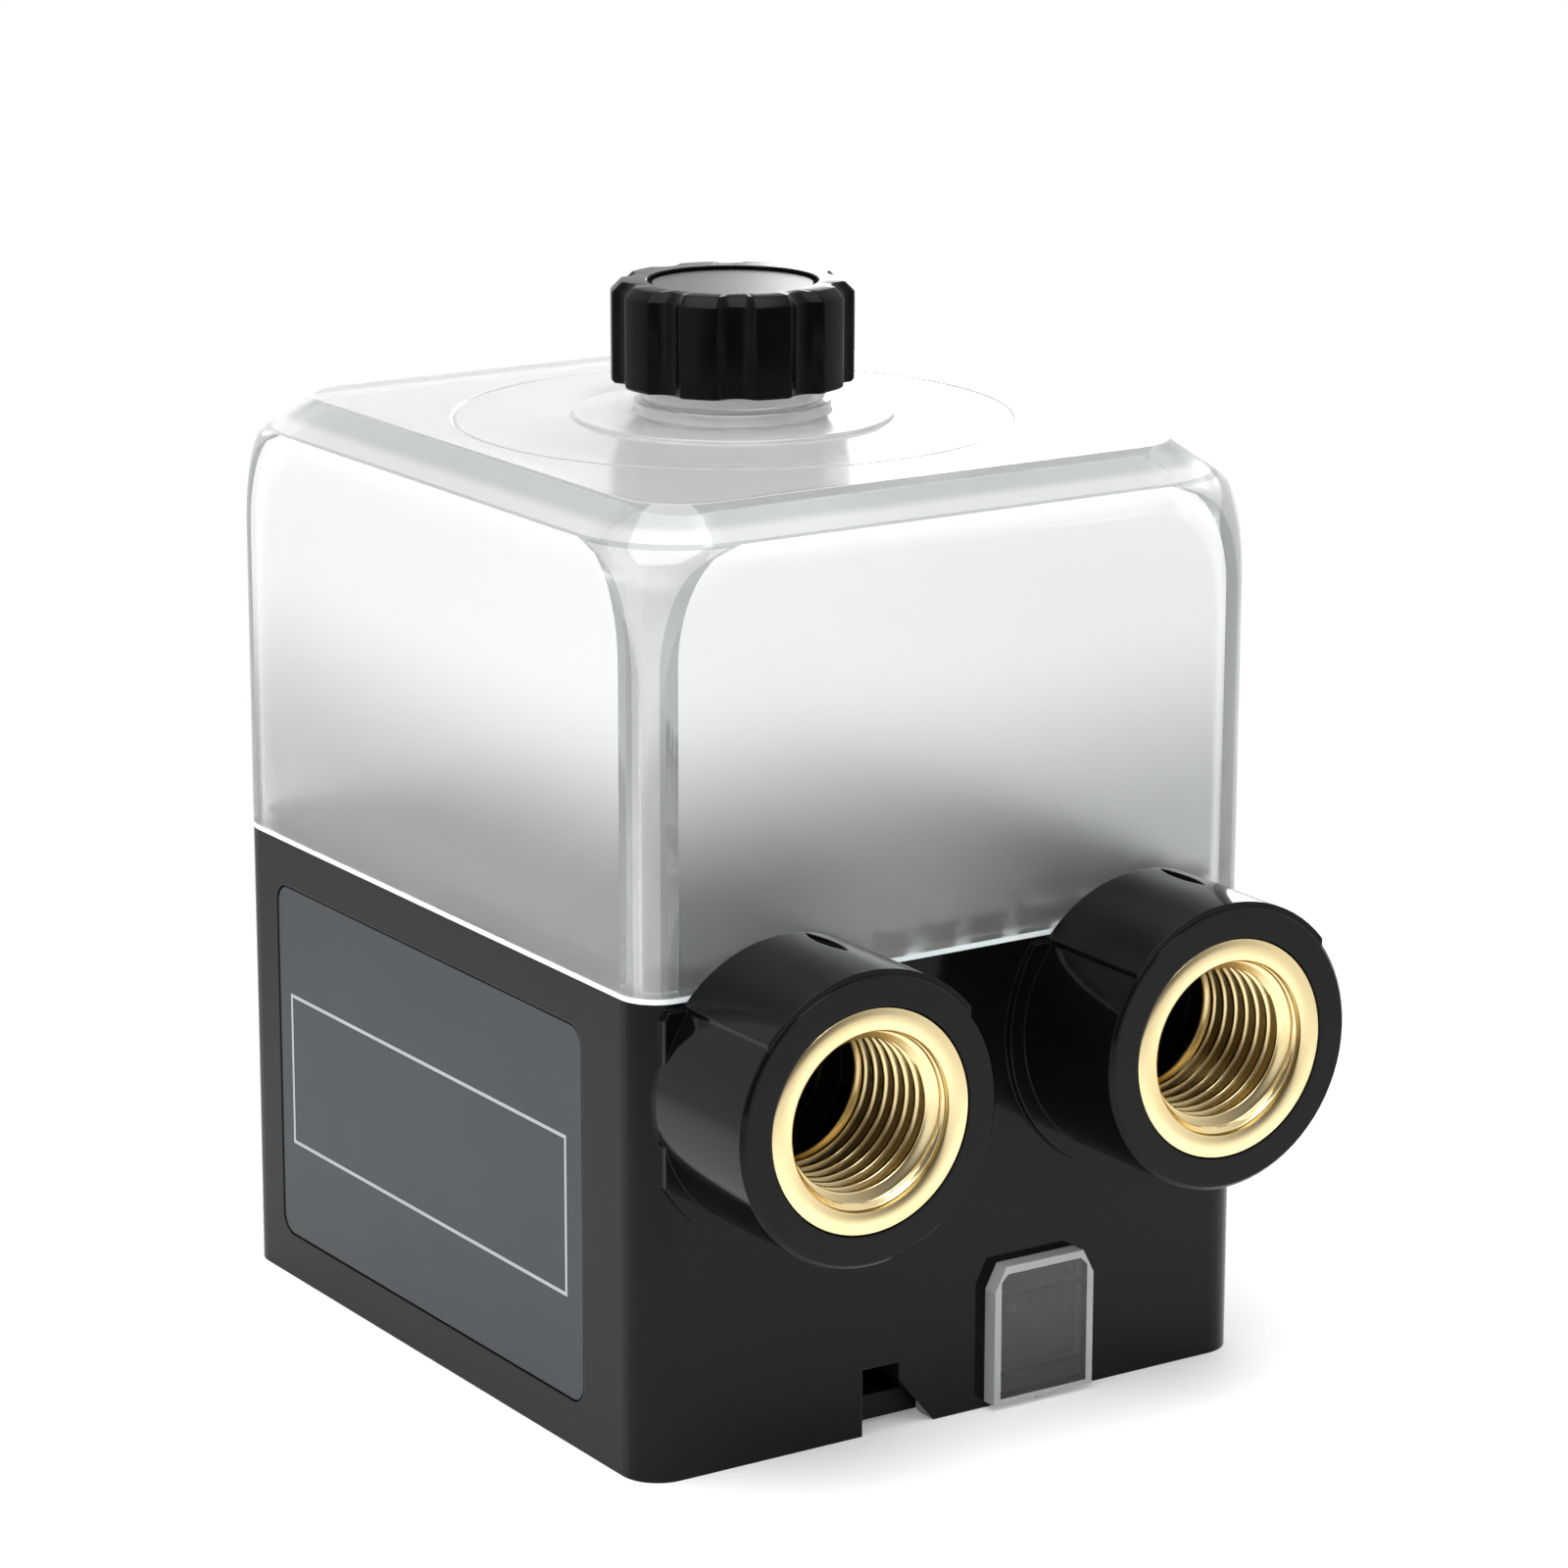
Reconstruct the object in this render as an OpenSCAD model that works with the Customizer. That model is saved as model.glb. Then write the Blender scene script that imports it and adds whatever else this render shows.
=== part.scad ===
// Coolant pump with its reservoir: a small wet-rotor centrifugal pump in a moulded base,
// under a frosted tank with a screwed filler cap. Millimetres, +Z up.
// The origin is on the rotor axis, in the plane that the base stands on.
// The two threaded ports face -Y. Threads are left plain, at their core diameters.

/* [Body] */
// Width across the port face
body_w = 55; // [54:0.5:64]
// Depth from the port face to the back
body_d = 62; // [61:0.5:72]
// Height of the base, up to the tank seal
base_h = 36.7; // [36:0.1:40]
// Radius of the upright corners
corner_r = 3.1; // [2:0.1:5]
// Wall of the base shell
base_wall = 2.4; // [1.8:0.1:3]
// Width of the rim that the tank stands on
rim_w = 2.6; // [2.2:0.1:3]

/* [Tank] */
// Height of the tank, from the seal to its flat top
tank_h = 35.1; // [28:0.1:80]
// Wall of the tank
tank_wall = 2; // [1.4:0.1:2.2]
// Thickness of the tank's top plate
tank_top_t = 2.2; // [1.6:0.1:3]
// Height of the sloping band round the top
bevel_h = 2.4; // [1.5:0.1:4]
// How far the sloping band leans in
bevel_in = 3.6; // [2:0.1:5]
// Radius of the upper corners, where the side panels end
shoulder_r = 8.5; // [5:0.1:10]
// Thickness of the seal between tank and base
seal_t = 0.4; // [0.3:0.1:0.8]

/* [Filler neck] */
// Outer radius of the neck's threaded part, at the thread's core
neck_r = 6.7; // [6:0.1:7]
// Bore radius of the neck
neck_bore_r = 4.9; // [4:0.1:5.2]
// Height of the neck above the tank's top
neck_h = 8; // [7.5:0.1:10]
// Radius of the collar at the foot of the neck
collar_r = 7.65; // [7.3:0.05:9]
// Radius of the raised disc round the neck
disc_r = 12.45; // [10:0.05:16]

/* [Filler cap] */
// Radius over the cap's lobes
cap_r = 9.4; // [9:0.1:11]
// Height of the cap
cap_h = 7.8; // [7:0.1:9]
// Number of lobes round the cap
cap_lobes = 10; // [6:1:16]
// Angle of the first groove between lobes
cap_phase = 23.2; // [0:0.1:36]
// Radial room between the neck and the cap's bore
cap_gap = 0.75; // [0.5:0.05:1]
// Thickness of the cap's sealing ring
cap_seal_t = 0.8; // [0.6:0.1:1]

/* [Ports] */
// Place of the outlet port across the face
outlet_x = -15.4; // [-15.8:0.1:-14.8]
// Place of the inlet port across the face
inlet_x = 16.8; // [16:0.1:17.2]
// How far the port axes lie below the top of the base
port_drop = 7.4; // [6.8:0.1:7.6]
// Radius of the port bosses
boss_r = 11; // [10.5:0.1:11.5]
// How far the bosses stand out of the face
boss_len = 11.5; // [10:0.1:16]
// Outer radius of the brass inserts
insert_r = 8.5; // [8:0.1:9]
// Core radius of the insert's thread
thread_core_r = 5.72; // [5.5:0.01:5.8]
// Radius of the countersunk mouth of the thread
mouth_r = 6.75; // [6.6:0.05:7.2]
// Radius of the passages behind the ports
passage_r = 4; // [3:0.1:4]

/* [Pump] */
// Radius of the pump chamber where the spiral starts
volute_start_r = 16; // [15.6:0.1:16.4]
// Radius of the pump chamber at the outlet
volute_end_r = 19.4; // [18.5:0.1:19.8]
// Radius of the impeller
impeller_r = 15; // [12:0.1:15.2]
// Number of impeller blades
blade_count = 7; // [5:1:9]
// Inner radius of the can round the rotor
can_r = 9.2; // [8.8:0.1:9.6]
// Wall of the can
can_wall = 0.8; // [0.6:0.1:1]
// Outer radius of the ring magnet
magnet_r = 8.6; // [8:0.1:8.7]
// Radius of the fixed shaft
shaft_r = 1.5; // [1.2:0.1:1.8]
// Radius of the opening in the tank floor above the impeller
eye_r = 6.5; // [5.5:0.1:7.5]

/* [Stator] */
// Outer radius of the stator core
stator_r = 22; // [20.5:0.1:22.4]
// Number of poles
pole_count = 6; // [6:1:6]
// Width of a pole
pole_w = 4; // [3:0.1:4.6]
// Thickness of a winding
coil_t = 1.7; // [1:0.1:1.8]
// Height of the rim under the deck that the stator is pushed against
rim_h = 3.4; // [3.2:0.1:4.6]

/* [Details] */
// Pitch of the teeth round the tank floor
tooth_pitch = 4.4; // [3.6:0.1:6]
// Height of the teeth above the floor
tooth_h = 2; // [1.6:0.1:3]
// Width of the connector cover
cover_w = 9.2; // [8.4:0.1:10]
// Height of the connector cover
cover_h = 11; // [10.6:0.1:12]
// Width of the label recess
label_w = 47; // [30:0.5:50]
// Height of the label recess
label_h = 29.2; // [20:0.1:30]
// Radius of the mounting screws' pilot holes
mount_hole_r = 1.25; // [1:0.05:1.7]

/* [Hidden] */
$fn = 64;

over = 1;             // how far a cutter runs past the face it opens
fit = 0.05;           // room round a part that is pressed or moulded in
seat_gap = 0.15;      // room between parts that drop into each other
run_gap = 0.05;       // radial room of the rotor's bushes on the shaft
face_gap = 0.15;      // axial room between parts that turn on each other

front_y = -body_d / 2;

// Heights, from the standing face up
cover_z0 = 0.4;
cover_t = 2;
cover_z1 = cover_z0 + cover_t;
board_t = 1.6;
board_z0 = cover_z1 + 2.2;
board_z1 = board_z0 + board_t;
can_floor_t = 1;
can_z0 = board_z1 + 1.4;
insulator_t = 0.8;
washer_t = 0.5;
can_boss_h = 0.4;
washer_z0 = can_z0 + can_floor_t + can_boss_h;
rotor_z0 = washer_z0 + washer_t + face_gap;
core_z0 = board_z1 + 3.6;
floor_t = 2.4;
pocket_z = base_h - floor_t;              // underside of the tank floor
chamber_z = pocket_z - 9.1;               // floor of the pump chamber
can_flange_t = 1.4;
flange_z0 = chamber_z - can_flange_t;
can_head_z = chamber_z - 0.8;
deck_z = chamber_z - 4;                   // ceiling of the motor bay
stack_z1 = deck_z - rim_h;
core_z1 = stack_z1 - insulator_t;
core_h = core_z1 - core_z0;               // the magnet is as long as the stator core
port_z = base_h - port_drop;
tank_z0 = base_h + seal_t;
tank_z1 = tank_z0 + tank_h;
neck_z1 = tank_z1 + neck_h;

// Plan sizes
bay_w = body_w - 2 * base_wall;
bay_d = body_d - 2 * base_wall;
pocket_w = body_w - 2 * rim_w;
pocket_d = body_d - 2 * rim_w;
pocket_r = max(corner_r - rim_w, 0.6);
rebate_w = bay_w + 1.2;
rebate_d = bay_d + 1.2;
rebate_r = max(corner_r - base_wall, 0.6) + 0.6;
can_outer_r = can_r + can_wall;
can_flange_r = 15.4;
can_seal_r = 11.3;
can_seal_d = 1.1;
can_screw_pcr = 13.3;
can_screw_angles = [90, 210, 330];
groove_half_w = 0.8;                      // half width of the seals' grooves
volute_seal_r = volute_end_r + 2.5;
volute_seal_d = 1.1;
tongue_angle = 200;
floor_screw_r = 1;
floor_screw_x = body_w / 2 - 6.4;
floor_screw_y = 14.5;
floor_screw_end_y = body_d / 2 - 5.2;
floor_head_z = base_h - 1.1;
riser_y = front_y + 8.5;
pillar_x = body_w / 2 - 4.5;
pillar_y = body_d / 2 - 4.5;
pillar_r = 2.4;
mount_x = body_w / 2 - 10;
mount_y = body_d / 2 - 7.5;
mount_boss_r = 3.2;
standoff_angles = [30, 150, 210, 330];
standoff_r = stator_r - 1.5;
board_w = body_w - 8;
board_d = body_d - 22.4;
capacitor_x = -board_w / 2 + 3.5;
capacitor_y = board_d / 2 - 3.5;
capacitor_r = norm([capacitor_x, capacitor_y]) - stator_r - 0.7;
pole_step = 360 / pole_count;
yoke_t = 3;
pole_inner_r = can_outer_r + 0.3;
coil_inner_r = pole_inner_r + 2.4;
coil_outer_r = stator_r - yoke_t - 0.4;

// Ports
saddle_rise = 0.25;
insert_z = 0.5;       // the insert's inner end, outward from the port face

// Connector at the foot of the port face
conn_x = 7.5;
header_w = 7.2;
header_z0 = 3;
header_h = 7.5;
header_d = 6.6;
pin_count = 4;
pin_pitch = 1.5;
pin_size = 0.6;
pin_z = board_z1 + 0.5;

// Rotor
sleeve_r = 4.1;
bush_r = 3;
bush_l = 5.5;
disc_z0 = chamber_z + 0.8;
disc_t = 1.4;
rotor_z1 = pocket_z - washer_t - face_gap;
blade_z1 = pocket_z - 1.1;
magnet_z0 = core_z0 - 0.1;
shaft_z0 = can_z0 + 0.4;
shaft_z1 = base_h - 1;
spider_hub_r = 2.9;
blade_inner_r = 5.6;
blade_outer_r = impeller_r - 0.3;
blade_sweep = 62;
blade_t = 1.1;

// Cap
cap_z0 = tank_z1 + 2.8;
cap_z1 = cap_z0 + cap_h;
cap_bore_r = neck_r + cap_gap;
seal_z0 = neck_z1 + face_gap;
cap_roof_z = seal_z0 + cap_seal_t + face_gap;

// ---- shared shapes ----

module rounded_rect(w, d, r) {
    square([w - 2 * r, d], center = true);
    square([w, d - 2 * r], center = true);
    for (sx = [-1, 1], sy = [-1, 1])
        translate([sx * (w / 2 - r), sy * (d / 2 - r)]) circle(r);
}

module rounded_block(w, d, h, r) {
    linear_extrude(h) rounded_rect(w, d, r);
}

// A part drawn along +Z is laid along -Y, starting at the port face
module on_port(x) {
    translate([x, front_y, port_z]) rotate([90, 0, 0]) children();
}

// Copies on the corners of a rectangle
module four_corners(x, y) {
    for (sx = [-1, 1], sy = [-1, 1]) translate([sx * x, sy * y, 0]) children();
}

module ring_seal(centre_r, d, z0) {
    translate([0, 0, z0 + d / 2]) rotate_extrude() translate([centre_r, 0]) circle(d / 2, $fn = 24);
}

module at_floor_screws() {
    four_corners(floor_screw_x, floor_screw_y) children();
    for (sy = [-1, 1]) translate([0, sy * floor_screw_end_y, 0]) children();
}

// Pan-head screw, its point down, the underside of its head at z = 0
module pan_screw(r, l, head_r, head_h) {
    difference() {
        union() {
            translate([0, 0, -l]) cylinder(r = r, h = l + 0.01, $fn = 24);
            intersection() {
                cylinder(r = head_r, h = head_h, $fn = 32);
                translate([0, 0, -head_r * 0.9]) sphere(head_r * 1.45, $fn = 48);
            }
        }
        for (a = [0, 90]) rotate(a)
            translate([0, 0, head_h]) cube([head_r * 1.1, head_r * 0.28, head_h * 1.1], center = true);
    }
}

// ---- base ----

function volute_radius(a) =
    volute_start_r + (volute_end_r - volute_start_r) * (a - tongue_angle) / (540 - tongue_angle);

volute_points = [for (a = [tongue_angle : 10 : 540]) volute_radius(a) * [cos(a), sin(a)]];

module volute_shape() {
    polygon(volute_points);
    circle(volute_start_r);
}

module port_boss(x) {
    edge = 0.35;
    collar_w = 1.3;
    saddle_half_w = boss_r * cos(38);
    on_port(x) {
        translate([0, 0, -corner_r]) cylinder(r = boss_r, h = boss_len + corner_r - edge);
        translate([0, 0, boss_len - edge]) cylinder(r1 = boss_r, r2 = boss_r - edge, h = edge);
        // raised saddle over the top of the boss
        intersection() {
            translate([0, 0, -over]) cylinder(r = boss_r + saddle_rise, h = boss_len + over - edge / 2);
            translate([-saddle_half_w, 0, -over]) cube([2 * saddle_half_w, boss_r * 2, boss_len + over]);
        }
        // low collar at the root, cut off at the seam
        intersection() {
            translate([0, 0, -over]) cylinder(r = boss_r + collar_w, h = over + 0.6);
            translate([-x - body_w / 2 + corner_r / 2, -port_z, -over])
                cube([body_w - corner_r, base_h - 0.4, 3 * over]);
        }
    }
}

module port_cutter(x, end_y) {
    on_port(x) {
        translate([0, 0, insert_z]) cylinder(r = insert_r + fit, h = boss_len + over);
        translate([0, 0, -1.5]) cylinder(r = thread_core_r + 0.4, h = 3);
        translate([0, 0, front_y - end_y]) cylinder(r = passage_r, h = end_y - front_y + 0.1);
    }
    // flow-direction slot in the top of the boss
    translate([x + 1.5, front_y - 3.3, port_z + boss_r + saddle_rise]) linear_extrude(1, center = true)
        intersection_for(s = [-1, 1]) translate([s * 5.3, 0]) circle(6);
}

module motor_bay() {
    difference() {
        translate([0, 0, -over])
            rounded_block(bay_w, bay_d, deck_z + over, max(corner_r - base_wall, 0.6));
        four_corners(pillar_x, pillar_y) translate([0, 0, cover_z1 + fit]) cylinder(r = pillar_r, h = deck_z);
        four_corners(mount_x, mount_y) translate([0, 0, -over]) cylinder(r = mount_boss_r, h = deck_z + over);
        // rim that the stator stack is pushed up against
        translate([0, 0, stack_z1]) difference() {
            cylinder(r = stator_r - 0.2, h = deck_z);
            translate([0, 0, -over]) cylinder(r = stator_r - 2.4, h = deck_z + 2 * over);
        }
    }
}

module base_housing() {
    color([0.12, 0.125, 0.13]) difference() {
        union() {
            rounded_block(body_w, body_d, base_h, corner_r);
            for (x = [outlet_x, inlet_x]) port_boss(x);
        }
        motor_bay();
        // recess for the bottom cover
        translate([0, 0, -over]) difference() {
            rounded_block(rebate_w, rebate_d, cover_z1 + over, rebate_r);
            four_corners(mount_x, mount_y) cylinder(r = mount_boss_r, h = cover_z1 + over);
        }
        // pocket for the tank floor, and the room that keeps the bosses off the tank
        translate([0, 0, pocket_z]) rounded_block(pocket_w, pocket_d, floor_t + over, pocket_r);
        translate([0, 0, base_h]) rounded_block(body_w, body_d + 2 * seat_gap, boss_r * 2, corner_r);
        // pump chamber, can seat and can seal
        translate([0, 0, chamber_z]) linear_extrude(base_h) volute_shape();
        translate([0, 0, deck_z - over]) cylinder(r = can_outer_r + 0.2, h = 6);
        translate([0, 0, flange_z0]) cylinder(r = can_flange_r + fit, h = 6);
        translate([0, 0, flange_z0 - can_seal_d]) difference() {
            cylinder(r = can_seal_r + groove_half_w, h = can_seal_d + 0.1);
            translate([0, 0, -over]) cylinder(r = can_seal_r - groove_half_w, h = can_seal_d + 2 * over);
        }
        for (a = can_screw_angles) rotate(a)
            translate([can_screw_pcr, 0, deck_z + 0.6]) cylinder(r = 0.85, h = 6, $fn = 24);
        // ports and the inlet's riser into the tank
        port_cutter(outlet_x, 0);
        port_cutter(inlet_x, riser_y);
        translate([inlet_x, riser_y, port_z]) {
            sphere(passage_r);
            cylinder(r = passage_r, h = base_h);
        }
        // pilot holes
        at_floor_screws() translate([0, 0, pocket_z - 6]) cylinder(r = floor_screw_r, h = 7, $fn = 24);
        four_corners(pillar_x, pillar_y) cylinder(r = 1, h = 10, $fn = 24);
        four_corners(mount_x, mount_y) translate([0, 0, -over]) cylinder(r = mount_hole_r, h = 8 + over, $fn = 32);
        // window for the connector
        translate([conn_x, front_y, header_z0 + header_h / 2])
            cube([header_w + 2 * seat_gap, 4 * base_wall, header_h + 2 * seat_gap], center = true);
        // outlet for the supply lead, with a flared side
        translate([0, front_y + base_wall + 0.7, 0]) rotate([90, 0, 0]) linear_extrude(base_wall + 0.7 + over)
            polygon([[-8.3, -over], [-8.3, 5.3], [-5, 5.3], [-5, 3.9], [-1.8, 0], [-1.8, -over]]);
        // shallow recess for the label
        translate([-body_w / 2, 1.2, base_h / 2]) rotate([90, 0, 90]) translate([0, 0, -over])
            rounded_block(label_w + 0.3, label_h + 0.3, over + 0.3, 1.6);
    }
}

module port_insert(x) {
    lead_in = mouth_r - thread_core_r;
    length = boss_len - insert_z;
    mouth_depth = 0.6;
    color([0.85, 0.72, 0.42]) on_port(x) translate([0, 0, insert_z]) rotate_extrude() polygon([
        [thread_core_r, 0], [insert_r - 0.4, 0], [insert_r, 0.4],
        [insert_r, 3], [insert_r - 0.5, 3.5], [insert_r - 0.5, 5.5], [insert_r, 6],
        [insert_r, length], [mouth_r, length],
        [mouth_r, length - mouth_depth], [thread_core_r, length - mouth_depth - lead_in]
    ]);
}

module outlet_insert() { port_insert(outlet_x); }
module inlet_insert() { port_insert(inlet_x); }

module bottom_cover() {
    color([0.16, 0.165, 0.17]) difference() {
        union() {
            translate([0, 0, cover_z0])
                rounded_block(rebate_w - 2 * seat_gap, rebate_d - 2 * seat_gap, cover_t, rebate_r);
            for (a = standoff_angles) rotate(a)
                translate([standoff_r, 0, cover_z0]) cylinder(r = 1.8, h = board_z0 - cover_z0, $fn = 32);
            // stiffening ribs on the inside
            for (y = [-9, 0, 9]) translate([0, y, cover_z1 + 0.35]) cube([24, 1, 0.8], center = true);
        }
        four_corners(mount_x, mount_y) translate([0, 0, -over])
            cylinder(r = mount_boss_r + seat_gap, h = cover_z1 + 2 * over);
        four_corners(pillar_x, pillar_y) {
            cylinder(r = 1.4, h = cover_z1 + over, $fn = 24);
            cylinder(r = 2.2, h = cover_z0 + 1.2, $fn = 32);
        }
    }
}

module cover_screws() {
    color("silver") four_corners(pillar_x, pillar_y)
        translate([0, 0, cover_z0 + 1.2]) rotate([180, 0, 0]) pan_screw(0.95, 7, 2, 1);
}

// ---- tank floor and seals ----

// Teeth along one side of the floor, centred
module tooth_row(length) {
    n = floor(length / tooth_pitch / 2) * 2;
    for (i = [-n / 2 : n / 2]) translate([i * tooth_pitch, 0, 0]) {
        translate([-tooth_pitch / 4, -1.2, 0]) cube([tooth_pitch / 2, 1.2, tooth_h]);
        translate([-tooth_pitch / 4, -0.1, tooth_h - 0.5]) cube([tooth_pitch / 2, 0.7, 0.5]);
    }
}

module tank_floor() {
    w = pocket_w - 2 * seat_gap;
    d = pocket_d - 2 * seat_gap;
    spoke_w = 1.6;
    color([0.1, 0.1, 0.105]) difference() {
        union() {
            translate([0, 0, pocket_z]) rounded_block(w, d, floor_t, max(pocket_r - seat_gap, 0.4));
            for (s = [0, 180]) rotate(s) {
                translate([0, d / 2, base_h]) tooth_row(w - 3.6);
                rotate(90) translate([0, w / 2, base_h]) tooth_row(d - 3.6);
            }
            // lip round the eye, and the spout of the return
            translate([0, 0, base_h]) cylinder(r = eye_r + 1.6, h = 1);
            translate([inlet_x, riser_y, base_h]) cylinder(r = passage_r + 1.2, h = 0.8);
        }
        difference() {
            translate([0, 0, pocket_z - over]) cylinder(r = eye_r, h = floor_t + 3 * over);
            // spider that steadies the top of the shaft
            translate([0, 0, pocket_z]) {
                cylinder(r = spider_hub_r, h = floor_t);
                for (a = [30, 150, 270]) rotate(a)
                    translate([0, -spoke_w / 2, 0.6]) cube([eye_r + over, spoke_w, floor_t - 0.6]);
            }
        }
        translate([0, 0, pocket_z - over]) cylinder(r = shaft_r + 0.03, h = shaft_z1 - pocket_z + over + 0.1);
        translate([inlet_x, riser_y, pocket_z - over]) cylinder(r = passage_r, h = floor_t + 3 * over);
        translate([0, 0, pocket_z - over]) difference() {
            cylinder(r = volute_seal_r + groove_half_w, h = volute_seal_d + over);
            translate([0, 0, -over]) cylinder(r = volute_seal_r - groove_half_w, h = volute_seal_d + 3 * over);
        }
        at_floor_screws() {
            translate([0, 0, pocket_z - over]) cylinder(r = 1.3, h = floor_t + 2 * over, $fn = 24);
            translate([0, 0, floor_head_z]) cylinder(r = 2.15, h = 2, $fn = 32);
        }
    }
}

module floor_screws() {
    color("silver") at_floor_screws() translate([0, 0, floor_head_z]) pan_screw(0.95, 6.5, 1.95, 1);
}

module volute_seal() {
    color([0.2, 0.2, 0.2]) ring_seal(volute_seal_r, volute_seal_d, pocket_z);
}

module tank_seal() {
    color([0.85, 0.87, 0.87]) translate([0, 0, base_h]) difference() {
        rounded_block(body_w, body_d, seal_t, corner_r);
        translate([0, 0, -over])
            rounded_block(pocket_w + 0.2, pocket_d + 0.2, seal_t + 2 * over, pocket_r + 0.1);
    }
}

// ---- tank ----

// Outline of one level of the tank's form, as points at height z
corner_steps = 8;
function level_points(z, w, d, r) = [
    for (q = [0 : 3], i = [0 : corner_steps])
        let (a = 90 * q + 90 * i / corner_steps, sx = (q == 0 || q == 3) ? 1 : -1, sy = q < 2 ? 1 : -1)
        [sx * (w / 2 - r) + r * cos(a), sy * (d / 2 - r) + r * sin(a), z]
];

// Closed solid through a list of levels, from the bottom up
module loft(levels) {
    n = len(levels[0]);
    last = (len(levels) - 1) * n;
    polyhedron(
        points = [for (level = levels) each level],
        faces = concat(
            [[for (i = [0 : n - 1]) i]],
            [[for (i = [n - 1 : -1 : 0]) last + i]],
            [for (k = [0 : len(levels) - 2], i = [0 : n - 1]) let (j = (i + 1) % n)
                each [[k * n + i, (k + 1) * n + i, (k + 1) * n + j], [k * n + i, (k + 1) * n + j, k * n + j]]]
        )
    );
}

// The tank's outer form, or its inside when it is drawn smaller by inset
module tank_form(z0, z1, inset, foot_r) {
    panel_z = z1 - bevel_h;
    rise = 8.3;                   // height over which the upright corners open out
    steps = 5;
    w = body_w - 2 * inset;
    d = body_d - 2 * inset;
    top_r = max(shoulder_r - inset, 1);
    loft([
        level_points(z0, w, d, foot_r),
        for (i = [0 : steps]) let (u = i / steps)
            level_points(panel_z - rise * (1 - u), w, d, foot_r + (top_r - foot_r) * (1 - sqrt(1 - u * u))),
        level_points(z1, w - 2 * bevel_in, d - 2 * bevel_in, max(top_r - bevel_in, 1))
    ]);
}

module reservoir_tank() {
    snap_rib_z = base_h + 0.9;
    color([0.9, 0.93, 0.93, 0.6]) difference() {
        union() {
            tank_form(tank_z0, tank_z1, 0, corner_r);
            translate([0, 0, tank_z1 - over]) cylinder(r = disc_r, h = over + 0.4);
            translate([0, 0, tank_z1]) cylinder(r = collar_r, h = 1.4);
            translate([0, 0, tank_z1]) cylinder(r = neck_r, h = neck_h);
            translate([0, 0, tank_z1 + 1.6]) cylinder(r = neck_r + 0.5, h = 1);
        }
        difference() {
            tank_form(tank_z0 - over, tank_z1 - tank_top_t, tank_wall, max(corner_r - tank_wall, 0.8));
            // rib that the floor's teeth hook over
            translate([0, 0, snap_rib_z]) difference() {
                rounded_block(body_w, body_d, 0.4, corner_r);
                translate([0, 0, -over]) rounded_block(body_w - 2 * tank_wall - 1,
                    body_d - 2 * tank_wall - 1, 3 * over, max(corner_r - tank_wall - 0.5, 0.4));
            }
        }
        translate([0, 0, tank_z1 - tank_top_t - over]) cylinder(r = neck_bore_r, h = neck_h + 5);
    }
}

// ---- motor ----

module rotor_can() {
    color([0.35, 0.36, 0.37]) {
        difference() {
            union() {
                translate([0, 0, can_z0]) cylinder(r = can_outer_r, h = chamber_z - can_z0);
                translate([0, 0, flange_z0]) cylinder(r = can_flange_r, h = can_flange_t);
            }
            translate([0, 0, can_z0 + can_floor_t]) cylinder(r = can_r, h = base_h);
            for (a = can_screw_angles) rotate(a) translate([can_screw_pcr, 0, 0]) {
                translate([0, 0, flange_z0 - over]) cylinder(r = 1.1, h = 4, $fn = 24);
                translate([0, 0, can_head_z]) cylinder(r = 1.85, h = 2, $fn = 32);
            }
            translate([0, 0, shaft_z0]) cylinder(r = shaft_r + 0.03, h = 4);
        }
        difference() {
            translate([0, 0, can_z0 + 0.1]) cylinder(r = 2.8, h = can_floor_t + can_boss_h - 0.1);
            translate([0, 0, shaft_z0]) cylinder(r = shaft_r + 0.03, h = 4);
        }
    }
}

module can_screws() {
    color("silver") for (a = can_screw_angles) rotate(a)
        translate([can_screw_pcr, 0, can_head_z]) pan_screw(0.8, 2.4, 1.7, 0.7);
}

module can_seal() {
    color([0.2, 0.2, 0.2]) ring_seal(can_seal_r, can_seal_d, flange_z0 - can_seal_d);
}

module rotor_shaft() {
    color([0.93, 0.92, 0.88]) translate([0, 0, shaft_z0]) cylinder(r = shaft_r, h = shaft_z1 - shaft_z0);
}

module thrust_washer(z) {
    translate([0, 0, z]) difference() {
        cylinder(r = 2.8, h = washer_t);
        translate([0, 0, -over]) cylinder(r = shaft_r + fit, h = washer_t + 2 * over);
    }
}

module thrust_washers() {
    color([0.9, 0.9, 0.86]) {
        thrust_washer(washer_z0);
        thrust_washer(pocket_z - washer_t);
    }
}

module stator_core() {
    color([0.5, 0.51, 0.52]) translate([0, 0, core_z0]) difference() {
        union() {
            difference() {
                cylinder(r = stator_r, h = core_h);
                translate([0, 0, -over]) cylinder(r = stator_r - yoke_t, h = core_h + 2 * over);
            }
            for (i = [0 : pole_count - 1]) rotate(i * pole_step) {
                translate([pole_inner_r, -pole_w / 2, 0])
                    cube([stator_r - yoke_t / 2 - pole_inner_r, pole_w, core_h]);
                // pole shoe
                intersection() {
                    difference() {
                        cylinder(r = pole_inner_r + 1.4, h = core_h);
                        translate([0, 0, -over]) cylinder(r = pole_inner_r, h = core_h + 2 * over);
                    }
                    translate([0, -pole_w, 0]) cube([stator_r, 2 * pole_w, core_h]);
                }
            }
        }
        translate([0, 0, -over]) cylinder(r = pole_inner_r, h = core_h + 2 * over);
    }
}

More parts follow.
